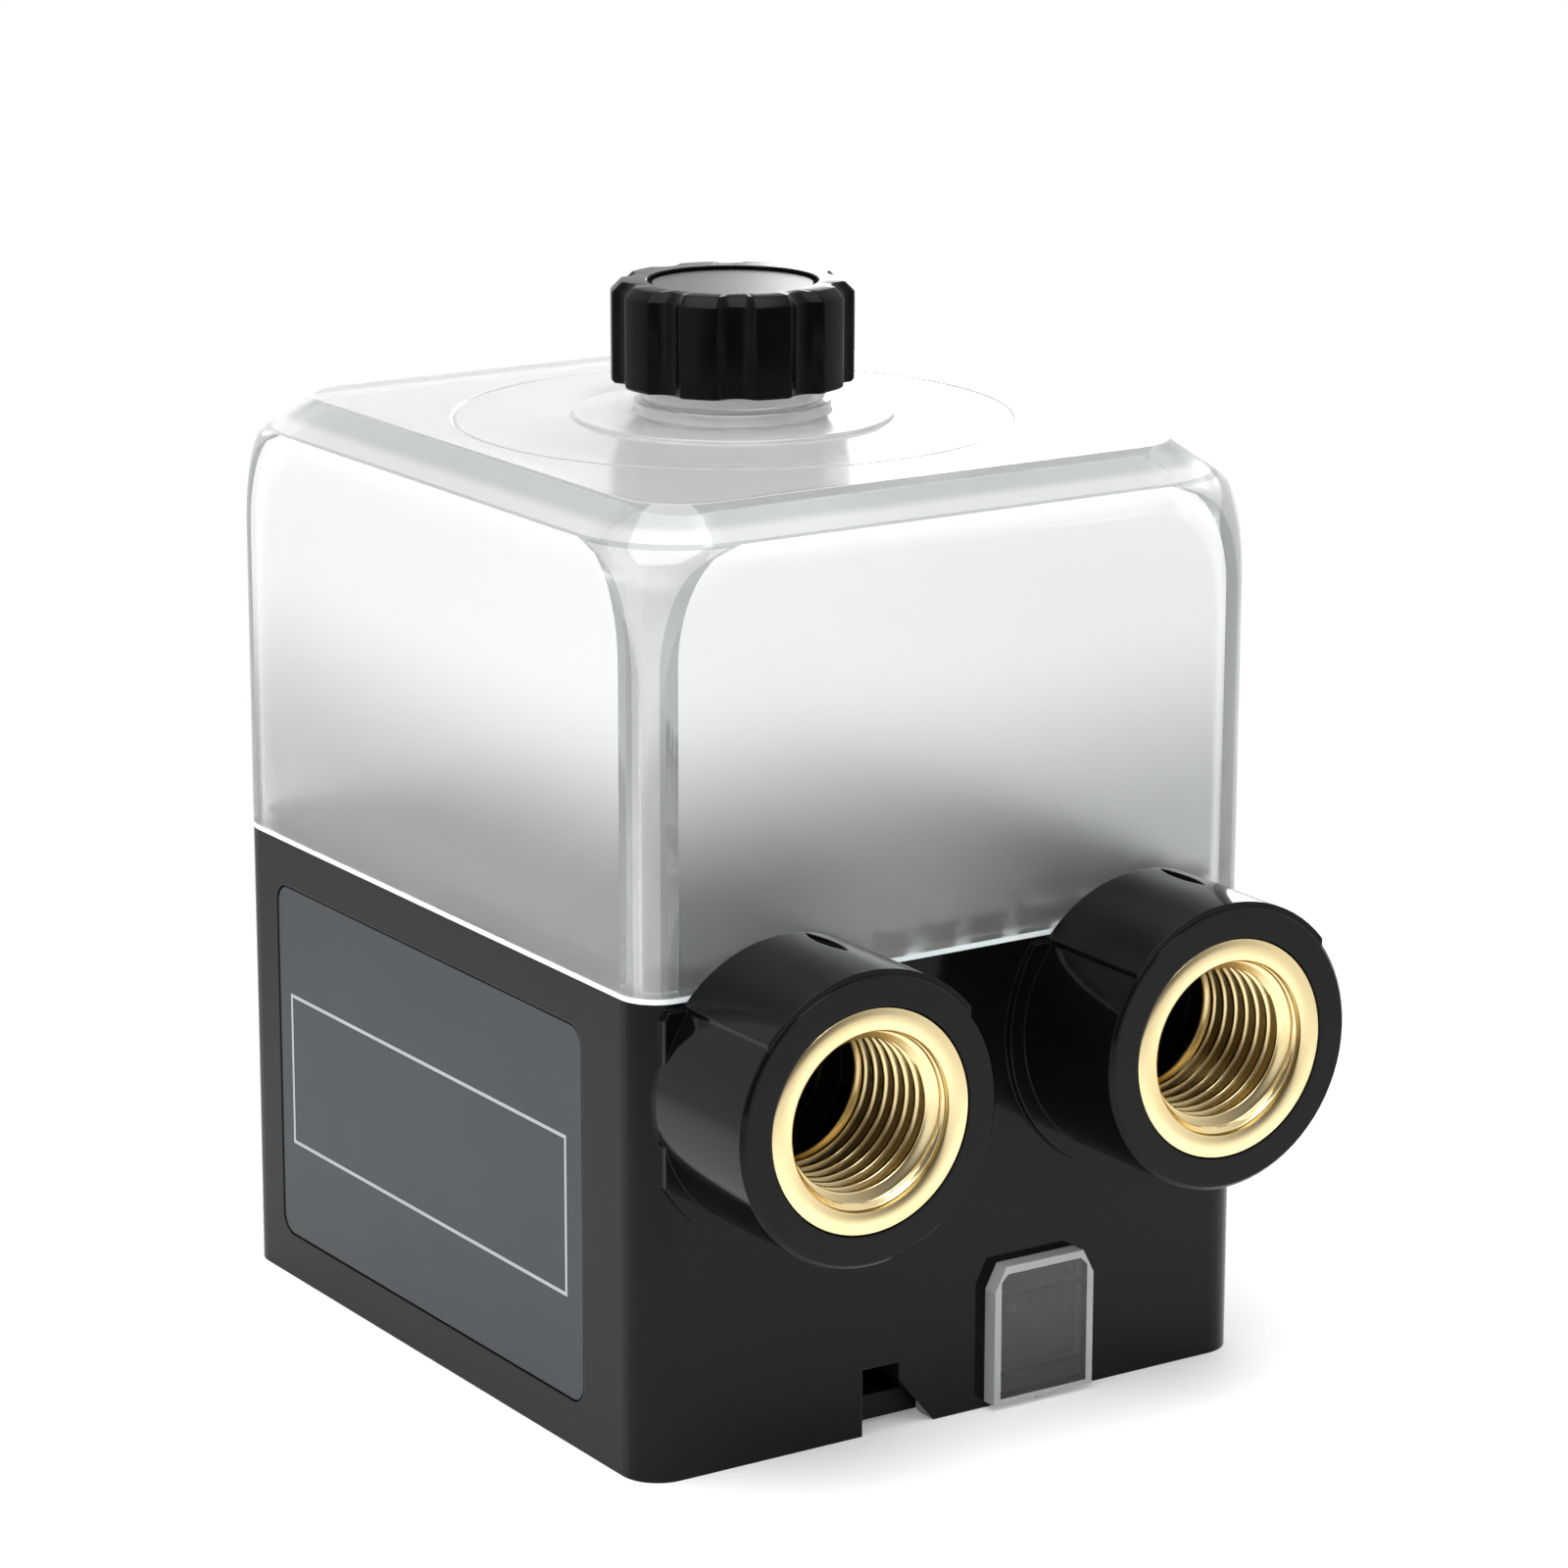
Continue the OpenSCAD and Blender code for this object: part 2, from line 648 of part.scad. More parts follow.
// End plate of the insulator, with a flange each side of every winding
module insulator_plate() {
    difference() {
        cylinder(r = stator_r - 0.3, h = insulator_t);
        translate([0, 0, -over]) cylinder(r = stator_r - yoke_t + 0.2, h = insulator_t + 2 * over);
    }
    for (i = [0 : pole_count - 1]) rotate(i * pole_step)
        translate([pole_inner_r + 0.3, -pole_w / 2, 0])
            cube([stator_r - yoke_t / 2 - pole_inner_r - 0.3, pole_w, insulator_t]);
}

module stator_insulator() {
    color([0.93, 0.92, 0.86]) {
        translate([0, 0, core_z1]) insulator_plate();
        translate([0, 0, core_z0 - insulator_t]) insulator_plate();
        for (a = standoff_angles) rotate(a) translate([standoff_r, 0, board_z1])
            cylinder(r = 1.1, h = core_z0 - board_z1 - insulator_t / 2, $fn = 24);
    }
}

module stator_coils() {
    length = coil_outer_r - coil_inner_r;
    inner_w = pole_w + 0.2;
    inner_h = core_h + 2 * insulator_t + 0.1;
    color([0.72, 0.42, 0.2]) translate([0, 0, core_z0 + core_h / 2])
        for (i = [0 : pole_count - 1]) rotate(i * pole_step) translate([coil_inner_r, 0, 0])
            rotate([90, 0, 90]) difference() {
                rounded_block(inner_w + 2 * coil_t, inner_h + 2 * coil_t, length, coil_t);
                translate([0, 0, -over]) linear_extrude(length + 2 * over)
                    square([inner_w, inner_h], center = true);
            }
}

// ---- electronics ----

module driver_board() {
    color([0.08, 0.3, 0.2]) translate([0, 0, board_z0]) linear_extrude(board_t) {
        rounded_rect(board_w, board_d, 3);
        // tongue that carries the connector pins
        translate([conn_x - 5, -board_d / 2 - 3.6]) square([10, 6]);
    }
}

module board_chips() {
    color([0.1, 0.1, 0.1]) {
        // bridge driver, controller and two regulators on the underside
        translate([-8, 4, board_z0 - 0.5]) cube([7, 5, 1], center = true);
        translate([7, -4, board_z0 - 0.5]) cube([5, 5, 1], center = true);
        for (x = [-4, 4]) translate([x, -15, board_z0 - 0.45]) cube([3, 2.6, 0.9], center = true);
    }
}

module smoothing_capacitor() {
    foot = 2 * capacitor_r + 0.2;
    color([0.75, 0.76, 0.78]) translate([capacitor_x, capacitor_y, board_z1]) {
        rounded_block(foot, foot, 0.8, foot / 8);
        translate([0, 0, 0.8]) cylinder(r = capacitor_r, h = 6);
    }
}

module hall_sensor() {
    color([0.12, 0.12, 0.12]) translate([0, 6.2, board_z1 + 0.55]) cube([3, 1.8, 1.1], center = true);
}

module connector_header() {
    wall = 0.8;
    color([0.3, 0.3, 0.3]) difference() {
        translate([conn_x - header_w / 2, front_y + 0.3, header_z0]) cube([header_w, header_d, header_h]);
        translate([conn_x - header_w / 2 + wall, front_y - over, header_z0 + wall])
            cube([header_w - 2 * wall, header_d - 1.2 + over, header_h - 2 * wall]);
        for (i = [0 : pin_count - 1]) translate([pin_x(i) - pin_size / 2, front_y, pin_z - pin_size / 2])
            cube([pin_size, header_d + over, pin_size]);
    }
}

function pin_x(i) = conn_x + (i - (pin_count - 1) / 2) * pin_pitch;

module connector_pins() {
    pin_start = front_y + 2;
    pin_end = -board_d / 2 - 0.6;
    color([0.8, 0.7, 0.4]) for (i = [0 : pin_count - 1]) translate([pin_x(i) - pin_size / 2, 0, 0]) {
        translate([0, pin_start, pin_z - pin_size / 2]) cube([pin_size, pin_end - pin_start, pin_size]);
        translate([0, pin_end - pin_size, board_z1]) cube([pin_size, pin_size, pin_z - board_z1]);
    }
}

// Clear snap-on cover over the connector window, with chamfered upper corners
module connector_cover() {
    w = cover_w;
    h = cover_h;
    z0 = 0.5;
    wall = 0.9;
    depth = 1.3;
    cut = 1.9;
    outline = [[-w / 2, 0], [w / 2, 0], [w / 2, h - cut], [w / 2 - 1, h], [-w / 2 + 1, h], [-w / 2, h - cut]];
    color([0.8, 0.82, 0.82, 0.5]) translate([conn_x, front_y, z0]) rotate([90, 0, 0]) {
        difference() {
            linear_extrude(depth) polygon(outline);
            translate([0, 0, -over]) linear_extrude(depth - 0.5 + over) difference() {
                translate([-w / 2 + wall, wall]) square([w - 2 * wall, h - 2 * wall]);
                for (z = [2.1, h - 2.7]) translate([-w / 2, z]) square([w, 0.35]);
            }
        }
        // pin-one arrow on the inside and the gate mark under the foot
        translate([-1.2, h - 2.7, depth - 0.9]) linear_extrude(0.5) polygon([[-0.7, 0.1], [0.7, 0.1], [0, -1.2]]);
        translate([0, -0.15, depth / 2]) cube([0.6, 0.4, 0.5], center = true);
    }
}

module label_plate() {
    color([0.33, 0.34, 0.35]) translate([-body_w / 2 + 0.3, 1.2, base_h / 2])
        rotate([90, 0, 90]) mirror([0, 0, 1]) rounded_block(label_w, label_h, 0.25, 1.5);
}

// ---- rotor ----

function blade_point(u, side) =
    let (r = blade_inner_r + (blade_outer_r - blade_inner_r) * u, a = -blade_sweep * u)
    [r * cos(a) - side * blade_t / 2 * sin(a - 35), r * sin(a) + side * blade_t / 2 * cos(a - 35)];

module blade_shape() {
    polygon(concat(
        [for (i = [0 : 8]) blade_point(i / 8, 1)],
        [for (i = [8 : -1 : 0]) blade_point(i / 8, -1)]));
}

module impeller() {
    color([0.85, 0.86, 0.85]) difference() {
        union() {
            translate([0, 0, rotor_z0]) cylinder(r = sleeve_r, h = rotor_z1 - rotor_z0);
            translate([0, 0, disc_z0]) cylinder(r = impeller_r, h = disc_t);
            translate([0, 0, disc_z0 + disc_t]) cylinder(r1 = sleeve_r + 1.2, r2 = sleeve_r, h = 1.6);
            translate([0, 0, disc_z0 + disc_t / 2])
                linear_extrude(blade_z1 - disc_z0 - disc_t / 2)
                for (i = [0 : blade_count - 1]) rotate(i * 360 / blade_count) blade_shape();
            // magnet seat
            translate([0, 0, magnet_z0 + core_h + fit]) cylinder(r = 6, h = 1.2);
        }
        translate([0, 0, rotor_z0 - over]) cylinder(r = bush_r + fit, h = rotor_z1 - rotor_z0 + 2 * over);
    }
}

module rotor_magnet() {
    color([0.25, 0.25, 0.27]) translate([0, 0, magnet_z0]) difference() {
        cylinder(r = magnet_r, h = core_h);
        translate([0, 0, -over]) cylinder(r = sleeve_r + fit, h = core_h + 2 * over);
    }
}

module rotor_bushes() {
    color([0.2, 0.2, 0.2]) for (z = [rotor_z0, rotor_z1 - bush_l]) translate([0, 0, z]) difference() {
        cylinder(r = bush_r, h = bush_l);
        translate([0, 0, -over]) cylinder(r = shaft_r + run_gap, h = bush_l + 2 * over);
    }
}

// ---- cap ----

module cap_seal() {
    color([0.25, 0.25, 0.25]) translate([0, 0, seal_z0]) difference() {
        cylinder(r = cap_bore_r - 0.2, h = cap_seal_t);
        translate([0, 0, -over]) cylinder(r = neck_bore_r, h = cap_seal_t + 2 * over);
    }
}

module filler_cap() {
    groove_r = 2.03;
    groove_depth = 0.55;
    chamfer = 0.7;
    recess_r = 6.6;
    color([0.1, 0.1, 0.1]) difference() {
        translate([0, 0, cap_z0]) rotate_extrude() polygon([
            [0, 0], [cap_r, 0], [cap_r, cap_h - chamfer], [cap_r - chamfer, cap_h], [0, cap_h]]);
        for (i = [0 : cap_lobes - 1]) rotate(cap_phase + i * 360 / cap_lobes)
            translate([cap_r - groove_depth + groove_r, 0, cap_z0 - over])
                cylinder(r = groove_r, h = cap_h + 2 * over, $fn = 32);
        translate([0, 0, cap_z0 - over]) cylinder(r = cap_bore_r, h = cap_roof_z - cap_z0 + over);
        // sunk disc in the top, inside a fine groove
        translate([0, 0, cap_z1 - 0.25]) cylinder(r = recess_r, h = over);
        translate([0, 0, cap_z1 - 0.5]) difference() {
            cylinder(r = recess_r, h = over);
            translate([0, 0, -over]) cylinder(r = recess_r - 0.35, h = 3 * over);
        }
    }
}

base_housing();
outlet_insert();
inlet_insert();
bottom_cover();
cover_screws();
tank_floor();
floor_screws();
volute_seal();
tank_seal();
reservoir_tank();
rotor_can();
can_screws();
can_seal();
rotor_shaft();
thrust_washers();
stator_core();
stator_insulator();
stator_coils();
driver_board();
board_chips();
smoothing_capacitor();
hall_sensor();
connector_header();
connector_pins();
connector_cover();
label_plate();
impeller();
rotor_magnet();
rotor_bushes();
cap_seal();
filler_cap();
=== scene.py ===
from math import atan2, cos, hypot, pi, radians, sin, sqrt

import bmesh
import bpy
from mathutils import Matrix, Vector


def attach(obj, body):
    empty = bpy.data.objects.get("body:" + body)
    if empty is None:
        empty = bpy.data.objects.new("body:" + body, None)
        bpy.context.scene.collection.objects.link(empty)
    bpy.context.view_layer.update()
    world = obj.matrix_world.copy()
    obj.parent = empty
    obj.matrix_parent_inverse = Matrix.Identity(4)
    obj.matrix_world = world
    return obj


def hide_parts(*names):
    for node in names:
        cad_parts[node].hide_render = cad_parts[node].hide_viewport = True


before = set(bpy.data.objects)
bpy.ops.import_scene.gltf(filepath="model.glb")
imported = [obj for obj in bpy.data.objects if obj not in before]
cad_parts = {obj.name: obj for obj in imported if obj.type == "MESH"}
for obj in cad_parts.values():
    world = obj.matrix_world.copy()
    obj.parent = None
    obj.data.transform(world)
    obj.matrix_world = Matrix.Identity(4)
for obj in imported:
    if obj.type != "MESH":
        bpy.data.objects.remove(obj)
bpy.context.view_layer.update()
mm = 0.001
print("frame loaded:", len(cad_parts), "nodes")

# ---- camera ----

camera = {
    "turn": -33.15,  # degrees round the object, 0 faces the ports
    "height": 14.65,  # degrees above the horizon
    "roll": 0.12,
    "distance": 422,
    "aside": 4.04,
    "up": 6.12,
    "aimHeight": 36.4,
    "lens": 122.7,
}


def placeCamera(c):
    turn, height, roll = radians(c["turn"]), radians(c["height"]), radians(c["roll"])
    back = Vector((sin(turn) * cos(height), -cos(turn) * cos(height), sin(height)))
    right = (-back).cross(Vector((0, 0, 1))).normalized()
    up = right.cross(-back)
    right, up = right * cos(roll) + up * sin(roll), up * cos(roll) - right * sin(roll)
    place = back * c["distance"] + right * c["aside"] + up * c["up"] + Vector((0, 0, c["aimHeight"]))
    data = bpy.data.cameras.new("camera")
    data.lens, data.sensor_width = c["lens"], 36
    data.clip_start, data.clip_end = 0.01, 50
    eye = bpy.data.objects.new("camera", data)
    eye.matrix_world = Matrix.Translation(place * mm) @ Matrix((right, up, back)).transposed().to_4x4()
    bpy.context.scene.collection.objects.link(eye)
    bpy.context.scene.camera = eye


placeCamera(camera)
print("camera placed")

# ---- materials ----


def linear(code):  # sRGB hex to linear RGBA
    parts = [int(code[i : i + 2], 16) / 255 for i in (1, 3, 5)]
    return tuple(p / 12.92 if p <= 0.04045 else ((p + 0.055) / 1.055) ** 2.4 for p in parts) + (1,)


def addNode(tree, kind, settings=None, links=None):
    node = tree.nodes.new(kind)
    for name, value in (settings or {}).items():
        if isinstance(name, str) and hasattr(node, name):
            setattr(node, name, value)
        else:
            node.inputs[name].default_value = value
    for name, source in (links or {}).items():
        tree.links.new(source, node.inputs[name])
    return node


def newMaterial(name, colour, roughness, **sockets):
    material = bpy.data.materials.new(name)
    material.use_nodes = True
    shader = material.node_tree.nodes["Principled BSDF"]
    shader.inputs["Base Color"].default_value = linear(colour)
    shader.inputs["Roughness"].default_value = roughness
    for socket, value in sockets.items():
        shader.inputs[socket.replace("_", " ")].default_value = value
    return material


# Surface left by the tool or the mould: grain size and depth in mm, and the radius that edges are eased to.
# The colour drifts a little over the piece, as a real moulding or casting does.
def giveSurface(material, colour, drift, grain, depth, edge=0.0, roughness=None, place=(0, 0, 0), stretch=(1, 1, 1)):
    tree = material.node_tree
    shader = tree.nodes["Principled BSDF"]
    where = addNode(tree, "ShaderNodeTexCoord")
    turned = addNode(tree, "ShaderNodeMapping", {"Location": [-p * mm for p in place], "Scale": stretch},
                     {"Vector": where.outputs["Object"]})
    fine = addNode(tree, "ShaderNodeTexNoise", {"Scale": 1 / (grain * mm), "Detail": 3.0, "Roughness": 0.6},
                   {"Vector": turned.outputs["Vector"]})
    broad = addNode(tree, "ShaderNodeTexNoise", {"Scale": 1 / (9 * mm), "Detail": 2.0},
                    {"Vector": where.outputs["Object"]})
    tint = addNode(tree, "ShaderNodeMix", {"data_type": "RGBA", 6: linear(colour), 7: linear(drift)},
                   {0: broad.outputs["Fac"]})
    tree.links.new(tint.outputs[2], shader.inputs["Base Color"])
    if roughness:
        spread = addNode(tree, "ShaderNodeMapRange", {"To Min": roughness[0], "To Max": roughness[1]},
                         {"Value": fine.outputs["Fac"]})
        tree.links.new(spread.outputs["Result"], shader.inputs["Roughness"])
    bump = addNode(tree, "ShaderNodeBump", {"Strength": 1.0, "Distance": depth * mm},
                   {"Height": fine.outputs["Fac"]})
    if edge:
        eased = addNode(tree, "ShaderNodeBevel", {"samples": 6, "Radius": edge * mm})
        tree.links.new(eased.outputs["Normal"], bump.inputs["Normal"])
    tree.links.new(bump.outputs["Normal"], shader.inputs["Normal"])
    return material


def dress(material, *names):
    for name in names:
        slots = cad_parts[name].material_slots
        for slot in slots:
            slot.material = material


# ABS, injection moulded in black: polished where the ports are, spark-eroded on the other sides,
# so the port face mirrors softly and the sides look satin. The spark-eroded sides and the boss fronts also get a
# lighter black, which is painted sheen.
housing = {
    "black": "#070808",
    "drift": "#0a0b0b",
    # satin: the lighter black painted on the textured sides and boss fronts as sheen
    "satin": "#131414",
    "portFace": 0.1,
    "sides": 0.42,
    "bossFront": 0.5,
    "bossFrontY": -42.42,
    "frontY": -31.01,
    "sideways": 0.97,
    "edge": 0.22,
}


def blackHousing(h):
    material = newMaterial("black ABS, moulded", h["black"], h["portFace"], IOR=1.46, Specular_IOR_Level=0.18)
    giveSurface(material, h["black"], h["drift"], 0.5, 0.002, h["edge"])
    tree = material.node_tree
    shader = tree.nodes["Principled BSDF"]
    place = addNode(tree, "ShaderNodeTexCoord")
    parts = addNode(tree, "ShaderNodeSeparateXYZ", links={"Vector": place.outputs["Object"]})
    facing = addNode(tree, "ShaderNodeSeparateXYZ", links={"Vector": place.outputs["Normal"]})
    sideways = addNode(tree, "ShaderNodeMath", {"operation": "ABSOLUTE"}, {0: facing.outputs["X"]})
    flatSide = addNode(tree, "ShaderNodeMath", {"operation": "GREATER_THAN", 1: h["sideways"]},
                       {0: sideways.outputs[0]})
    outerSide = addNode(tree, "ShaderNodeMath", {"operation": "GREATER_THAN", 1: h["frontY"] * mm},
                        {0: parts.outputs["Y"]})
    side = addNode(tree, "ShaderNodeMath", {"operation": "MULTIPLY"},
                   {0: flatSide.outputs[0], 1: outerSide.outputs[0]})
    front = addNode(tree, "ShaderNodeMath", {"operation": "LESS_THAN", 1: h["bossFrontY"] * mm},
                    {0: parts.outputs["Y"]})
    sideRough = addNode(tree, "ShaderNodeMix", {"data_type": "FLOAT", 2: h["portFace"], 3: h["sides"]},
                        {0: side.outputs[0]})
    rough = addNode(tree, "ShaderNodeMix", {"data_type": "FLOAT", 3: h["bossFront"]},
                    {0: front.outputs[0], 2: sideRough.outputs[0]})
    tree.links.new(rough.outputs[0], shader.inputs["Roughness"])
    # painted sheen: the textured sides and the boss fronts are tinted lighter than the plain black
    paintedArea = addNode(tree, "ShaderNodeMath", {"operation": "MAXIMUM"}, {0: side.outputs[0], 1: front.outputs[0]})
    plain = shader.inputs["Base Color"].links[0].from_socket
    paintedTone = addNode(tree, "ShaderNodeMix", {"data_type": "RGBA", 7: linear(h["satin"])},
                   {0: paintedArea.outputs[0], 6: plain})
    tree.links.new(paintedTone.outputs[2], shader.inputs["Base Color"])
    return material


dress(blackHousing(housing), "base_housing")

# Polyester label film, screen printed in slate grey: an even satin skin.
labelFilm = giveSurface(newMaterial("slate grey label film", "#35393c", 0.42, IOR=1.5, Specular_IOR_Level=0.22),
                        "#33373a", "#393d40", 0.3, 0.001, 0.1)
dress(labelFilm, "label_plate")

# ABS bottom cover with a fine spark-eroded texture.
dress(giveSurface(newMaterial("black ABS, textured", "#080809", 0.55, Specular_IOR_Level=0.2), "#080809", "#0d0d0e",
                  0.35, 0.02, 0.15), "bottom_cover")

# Glass-filled nylon of the tank floor and the can: dull, with short fibres near the skin.
floorNylon = giveSurface(newMaterial("black nylon, glass filled", "#141416", 0.45), "#131315", "#1c1c1f", 0.4, 0.01,
                         0.15, stretch=(1, 0.35, 1))
dress(floorNylon, "tank_floor")
dress(giveSurface(newMaterial("dark grey PPS, glass filled", "#35363a", 0.5), "#303135", "#3c3d42", 0.4, 0.012, 0.15,
                  stretch=(0.35, 1, 1)), "rotor_can")

# Bright zinc plate on pressed steel screws.
dress(giveSurface(newMaterial("bright zinc plate", "#b9bcc0", 0.28, Metallic=1.0), "#b4b7bb", "#c6c9cc", 0.25, 0.004,
                  0.08, (0.22, 0.36)), "cover_screws", "floor_screws", "can_screws")

# EPDM rings: dull black rubber with a trace of bloom.
dress(giveSurface(newMaterial("black EPDM rubber", "#1b1b1c", 0.62), "#19191a", "#262627", 0.3, 0.008), "volute_seal",
      "can_seal", "cap_seal")

# Silicone gasket, translucent white: it shows as a bright line in the seam.
gasket = giveSurface(newMaterial("white silicone", "#f2f4f3", 0.35, IOR=1.41, Subsurface_Weight=0.3,
                                 Subsurface_Scale=0.001), "#f0f2f1", "#fafbfa", 0.4, 0.002)
dress(gasket, "tank_seal")

# Zirconia, ground and polished.
dress(giveSurface(newMaterial("ground zirconia", "#e8e6df", 0.12, IOR=2.1), "#e4e2da", "#efede7", 0.3, 0.0006, 0.08),
      "rotor_shaft", "thrust_washers")

# Stacked electrical steel: the sheet edges run round the core 0.5 mm apart.
steelStack = giveSurface(newMaterial("laminated electrical steel", "#7c7f84", 0.38, Metallic=1.0), "#6f7277",
                         "#8b8e92", 0.5, 0.03, 0.1, (0.3, 0.5), stretch=(0.02, 0.02, 1))
dress(steelStack, "stator_core")

dress(giveSurface(newMaterial("natural nylon", "#d9d4c0", 0.42, Subsurface_Weight=0.15, Subsurface_Scale=0.001),
                  "#d5cfb9", "#e0dccb", 0.5, 0.004, 0.15), "stator_insulator")


# Enamelled copper wire, wound: 0.35 mm strands under a clear amber varnish.
def copperWinding():
    material = newMaterial("enamelled copper wire", "#a4532a", 0.24, Metallic=1.0, Coat_Weight=0.6,
                           Coat_Roughness=0.1)
    giveSurface(material, "#9a4a24", "#b86434", 0.6, 0.002)
    tree = material.node_tree
    place = addNode(tree, "ShaderNodeTexCoord")
    strands = addNode(tree, "ShaderNodeTexWave",
                      {"bands_direction": "Z", "Scale": 0.314 / (0.35 * mm), "Distortion": 0.6,
                                                 "Detail": 1.0}, {"Vector": place.outputs["Object"]})
    bump = addNode(tree, "ShaderNodeBump", {"Strength": 1.0, "Distance": 0.06 * mm},
                   {"Height": strands.outputs["Fac"]})
    tree.links.new(bump.outputs["Normal"], tree.nodes["Principled BSDF"].inputs["Normal"])
    return material


dress(copperWinding(), "stator_coils")


# Green solder mask over copper tracks: the tracks show as faint raised lines about 0.6 mm wide.
def solderMask():
    material = newMaterial("green solder mask", "#0e4a2a", 0.22, IOR=1.5)
    giveSurface(material, "#0d4427", "#115231", 1.2, 0.002, 0.08)
    tree = material.node_tree
    place = addNode(tree, "ShaderNodeTexCoord")
    cells = addNode(tree, "ShaderNodeTexVoronoi", {"distance": "MANHATTAN", "Scale": 1 / (2.4 * mm)},
                    {"Vector": place.outputs["Object"]})
    step = addNode(tree, "ShaderNodeMath", {"operation": "PINGPONG", 1: 0.12}, {0: cells.outputs["Distance"]})
    bump = addNode(tree, "ShaderNodeBump", {"Strength": 1.0, "Distance": 0.1 * mm}, {"Height": step.outputs[0]})
    tree.links.new(bump.outputs["Normal"], tree.nodes["Principled BSDF"].inputs["Normal"])
    return material


dress(solderMask(), "driver_board")
dress(giveSurface(newMaterial("moulded epoxy", "#19191b", 0.5), "#17171a", "#212124", 0.2, 0.006, 0.06),
      "board_chips", "hall_sensor")
dress(giveSurface(newMaterial("drawn aluminium can", "#cfd1d4", 0.3, Metallic=1.0), "#c9cbce", "#d8dadc", 0.4, 0.003,
                  0.3, (0.22, 0.38), stretch=(1, 1, 0.1)), "smoothing_capacitor")
dress(giveSurface(newMaterial("grey nylon, moulded", "#414344", 0.45), "#3e4041", "#484a4b", 0.4, 0.006, 0.1),
      "connector_header")
dress(giveSurface(newMaterial("tinned brass", "#d8cfae", 0.25, Metallic=1.0), "#d2c8a4", "#e0d9bd", 0.3, 0.003, 0.05,
                  (0.2, 0.32)), "connector_pins")
dress(giveSurface(newMaterial("natural PPS, moulded", "#cfd0cc", 0.38), "#c9cac6", "#d8d9d5", 0.4, 0.004, 0.15),
      "impeller")
dress(giveSurface(newMaterial("bonded ferrite", "#3a3a3e", 0.55), "#343438", "#444448", 0.25, 0.02, 0.1),
      "rotor_magnet")
dress(giveSurface(newMaterial("ground carbon", "#202022", 0.35), "#1d1d1f", "#29292b", 0.25, 0.004, 0.05),
      "rotor_bushes")

# Polycarbonate snap cover: clear and slightly smoky; its rims, chamfered corners and side walls get a painted
# highlight, near white and less clear.
cover = {
    "middle": 7.5,
    "halfWidth": 4.6,
    "low": 0.5,
    "high": 11.5,
    "rim": 0.6,
    "lowRim": 0.42,
    "cornerRim": 1.8,  # measured across and down together, at the chamfered corners
    "wallFacing": 0.6,
    "clear": "#707474",
    # bright: painted highlight colour for the rims and walls
    "bright": "#eef1f1",
    "rimShare": 0.6,
}


def coverPlastic(c):
    material = newMaterial("clear polycarbonate", c["clear"], 0.06, IOR=1.58)
    tree = material.node_tree
    shader = tree.nodes["Principled BSDF"]
    place = addNode(tree, "ShaderNodeTexCoord")
    parts = addNode(tree, "ShaderNodeSeparateXYZ", links={"Vector": place.outputs["Object"]})
    facing = addNode(tree, "ShaderNodeSeparateXYZ", links={"Vector": place.outputs["Normal"]})
    fromMiddle = addNode(tree, "ShaderNodeMath", {"operation": "SUBTRACT", 1: c["middle"] * mm},
                         {0: parts.outputs["X"]})
    out = addNode(tree, "ShaderNodeMath", {"operation": "ABSOLUTE"}, {0: fromMiddle.outputs[0]})
    edgeX = addNode(tree, "ShaderNodeMath", {"operation": "GREATER_THAN", 1: (c["halfWidth"] - c["rim"]) * mm},
                    {0: out.outputs[0]})
    edgeTop = addNode(tree, "ShaderNodeMath", {"operation": "GREATER_THAN", 1: (c["high"] - c["rim"]) * mm},
                      {0: parts.outputs["Z"]})
    edgeLow = addNode(tree, "ShaderNodeMath", {"operation": "LESS_THAN", 1: (c["low"] + c["lowRim"]) * mm},
                      {0: parts.outputs["Z"]})
    corner = addNode(tree, "ShaderNodeMath", {"operation": "ADD"}, {0: out.outputs[0], 1: parts.outputs["Z"]})
    edgeCorner = addNode(tree, "ShaderNodeMath",
                         {"operation": "GREATER_THAN", 1: (c["halfWidth"] + c["high"] - c["cornerRim"]) * mm},
                         {0: corner.outputs[0]})
    sideways = addNode(tree, "ShaderNodeMath", {"operation": "ABSOLUTE"}, {0: facing.outputs["Y"]})
    wall = addNode(tree, "ShaderNodeMath", {"operation": "LESS_THAN", 1: c["wallFacing"]}, {0: sideways.outputs[0]})
    rim = edgeX
    for mask in (edgeTop, edgeLow, edgeCorner, wall):
        rim = addNode(tree, "ShaderNodeMath", {"operation": "MAXIMUM"}, {0: rim.outputs[0], 1: mask.outputs[0]})
    # painted highlight: rims, corners and walls are tinted near white
    paintedTone = addNode(tree, "ShaderNodeMix", {"data_type": "RGBA", 6: linear(c["clear"]), 7: linear(c["bright"])},
                   {0: rim.outputs[0]})
    tree.links.new(paintedTone.outputs[2], shader.inputs["Base Color"])
    clear = addNode(tree, "ShaderNodeMix", {"data_type": "FLOAT", 2: 1.0, 3: c["rimShare"]}, {0: rim.outputs[0]})
    tree.links.new(clear.outputs[0], shader.inputs["Transmission Weight"])
    return material


dress(coverPlastic(cover), "connector_cover")
print("node materials dressed")


def putMesh(name, bm, body, slot, *materials, smoothBelow=35):
    mesh = bpy.data.meshes.new(name)
    bm.to_mesh(mesh)
    bm.free()
    for material in materials:
        mesh.materials.append(material)
    for face in mesh.polygons:
        face.use_smooth = True
    mesh.set_sharp_from_angle(angle=radians(smoothBelow))
    piece = bpy.data.objects.new(name, mesh)
    bpy.context.scene.collection.objects.link(piece)
    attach(piece, body)
    return piece


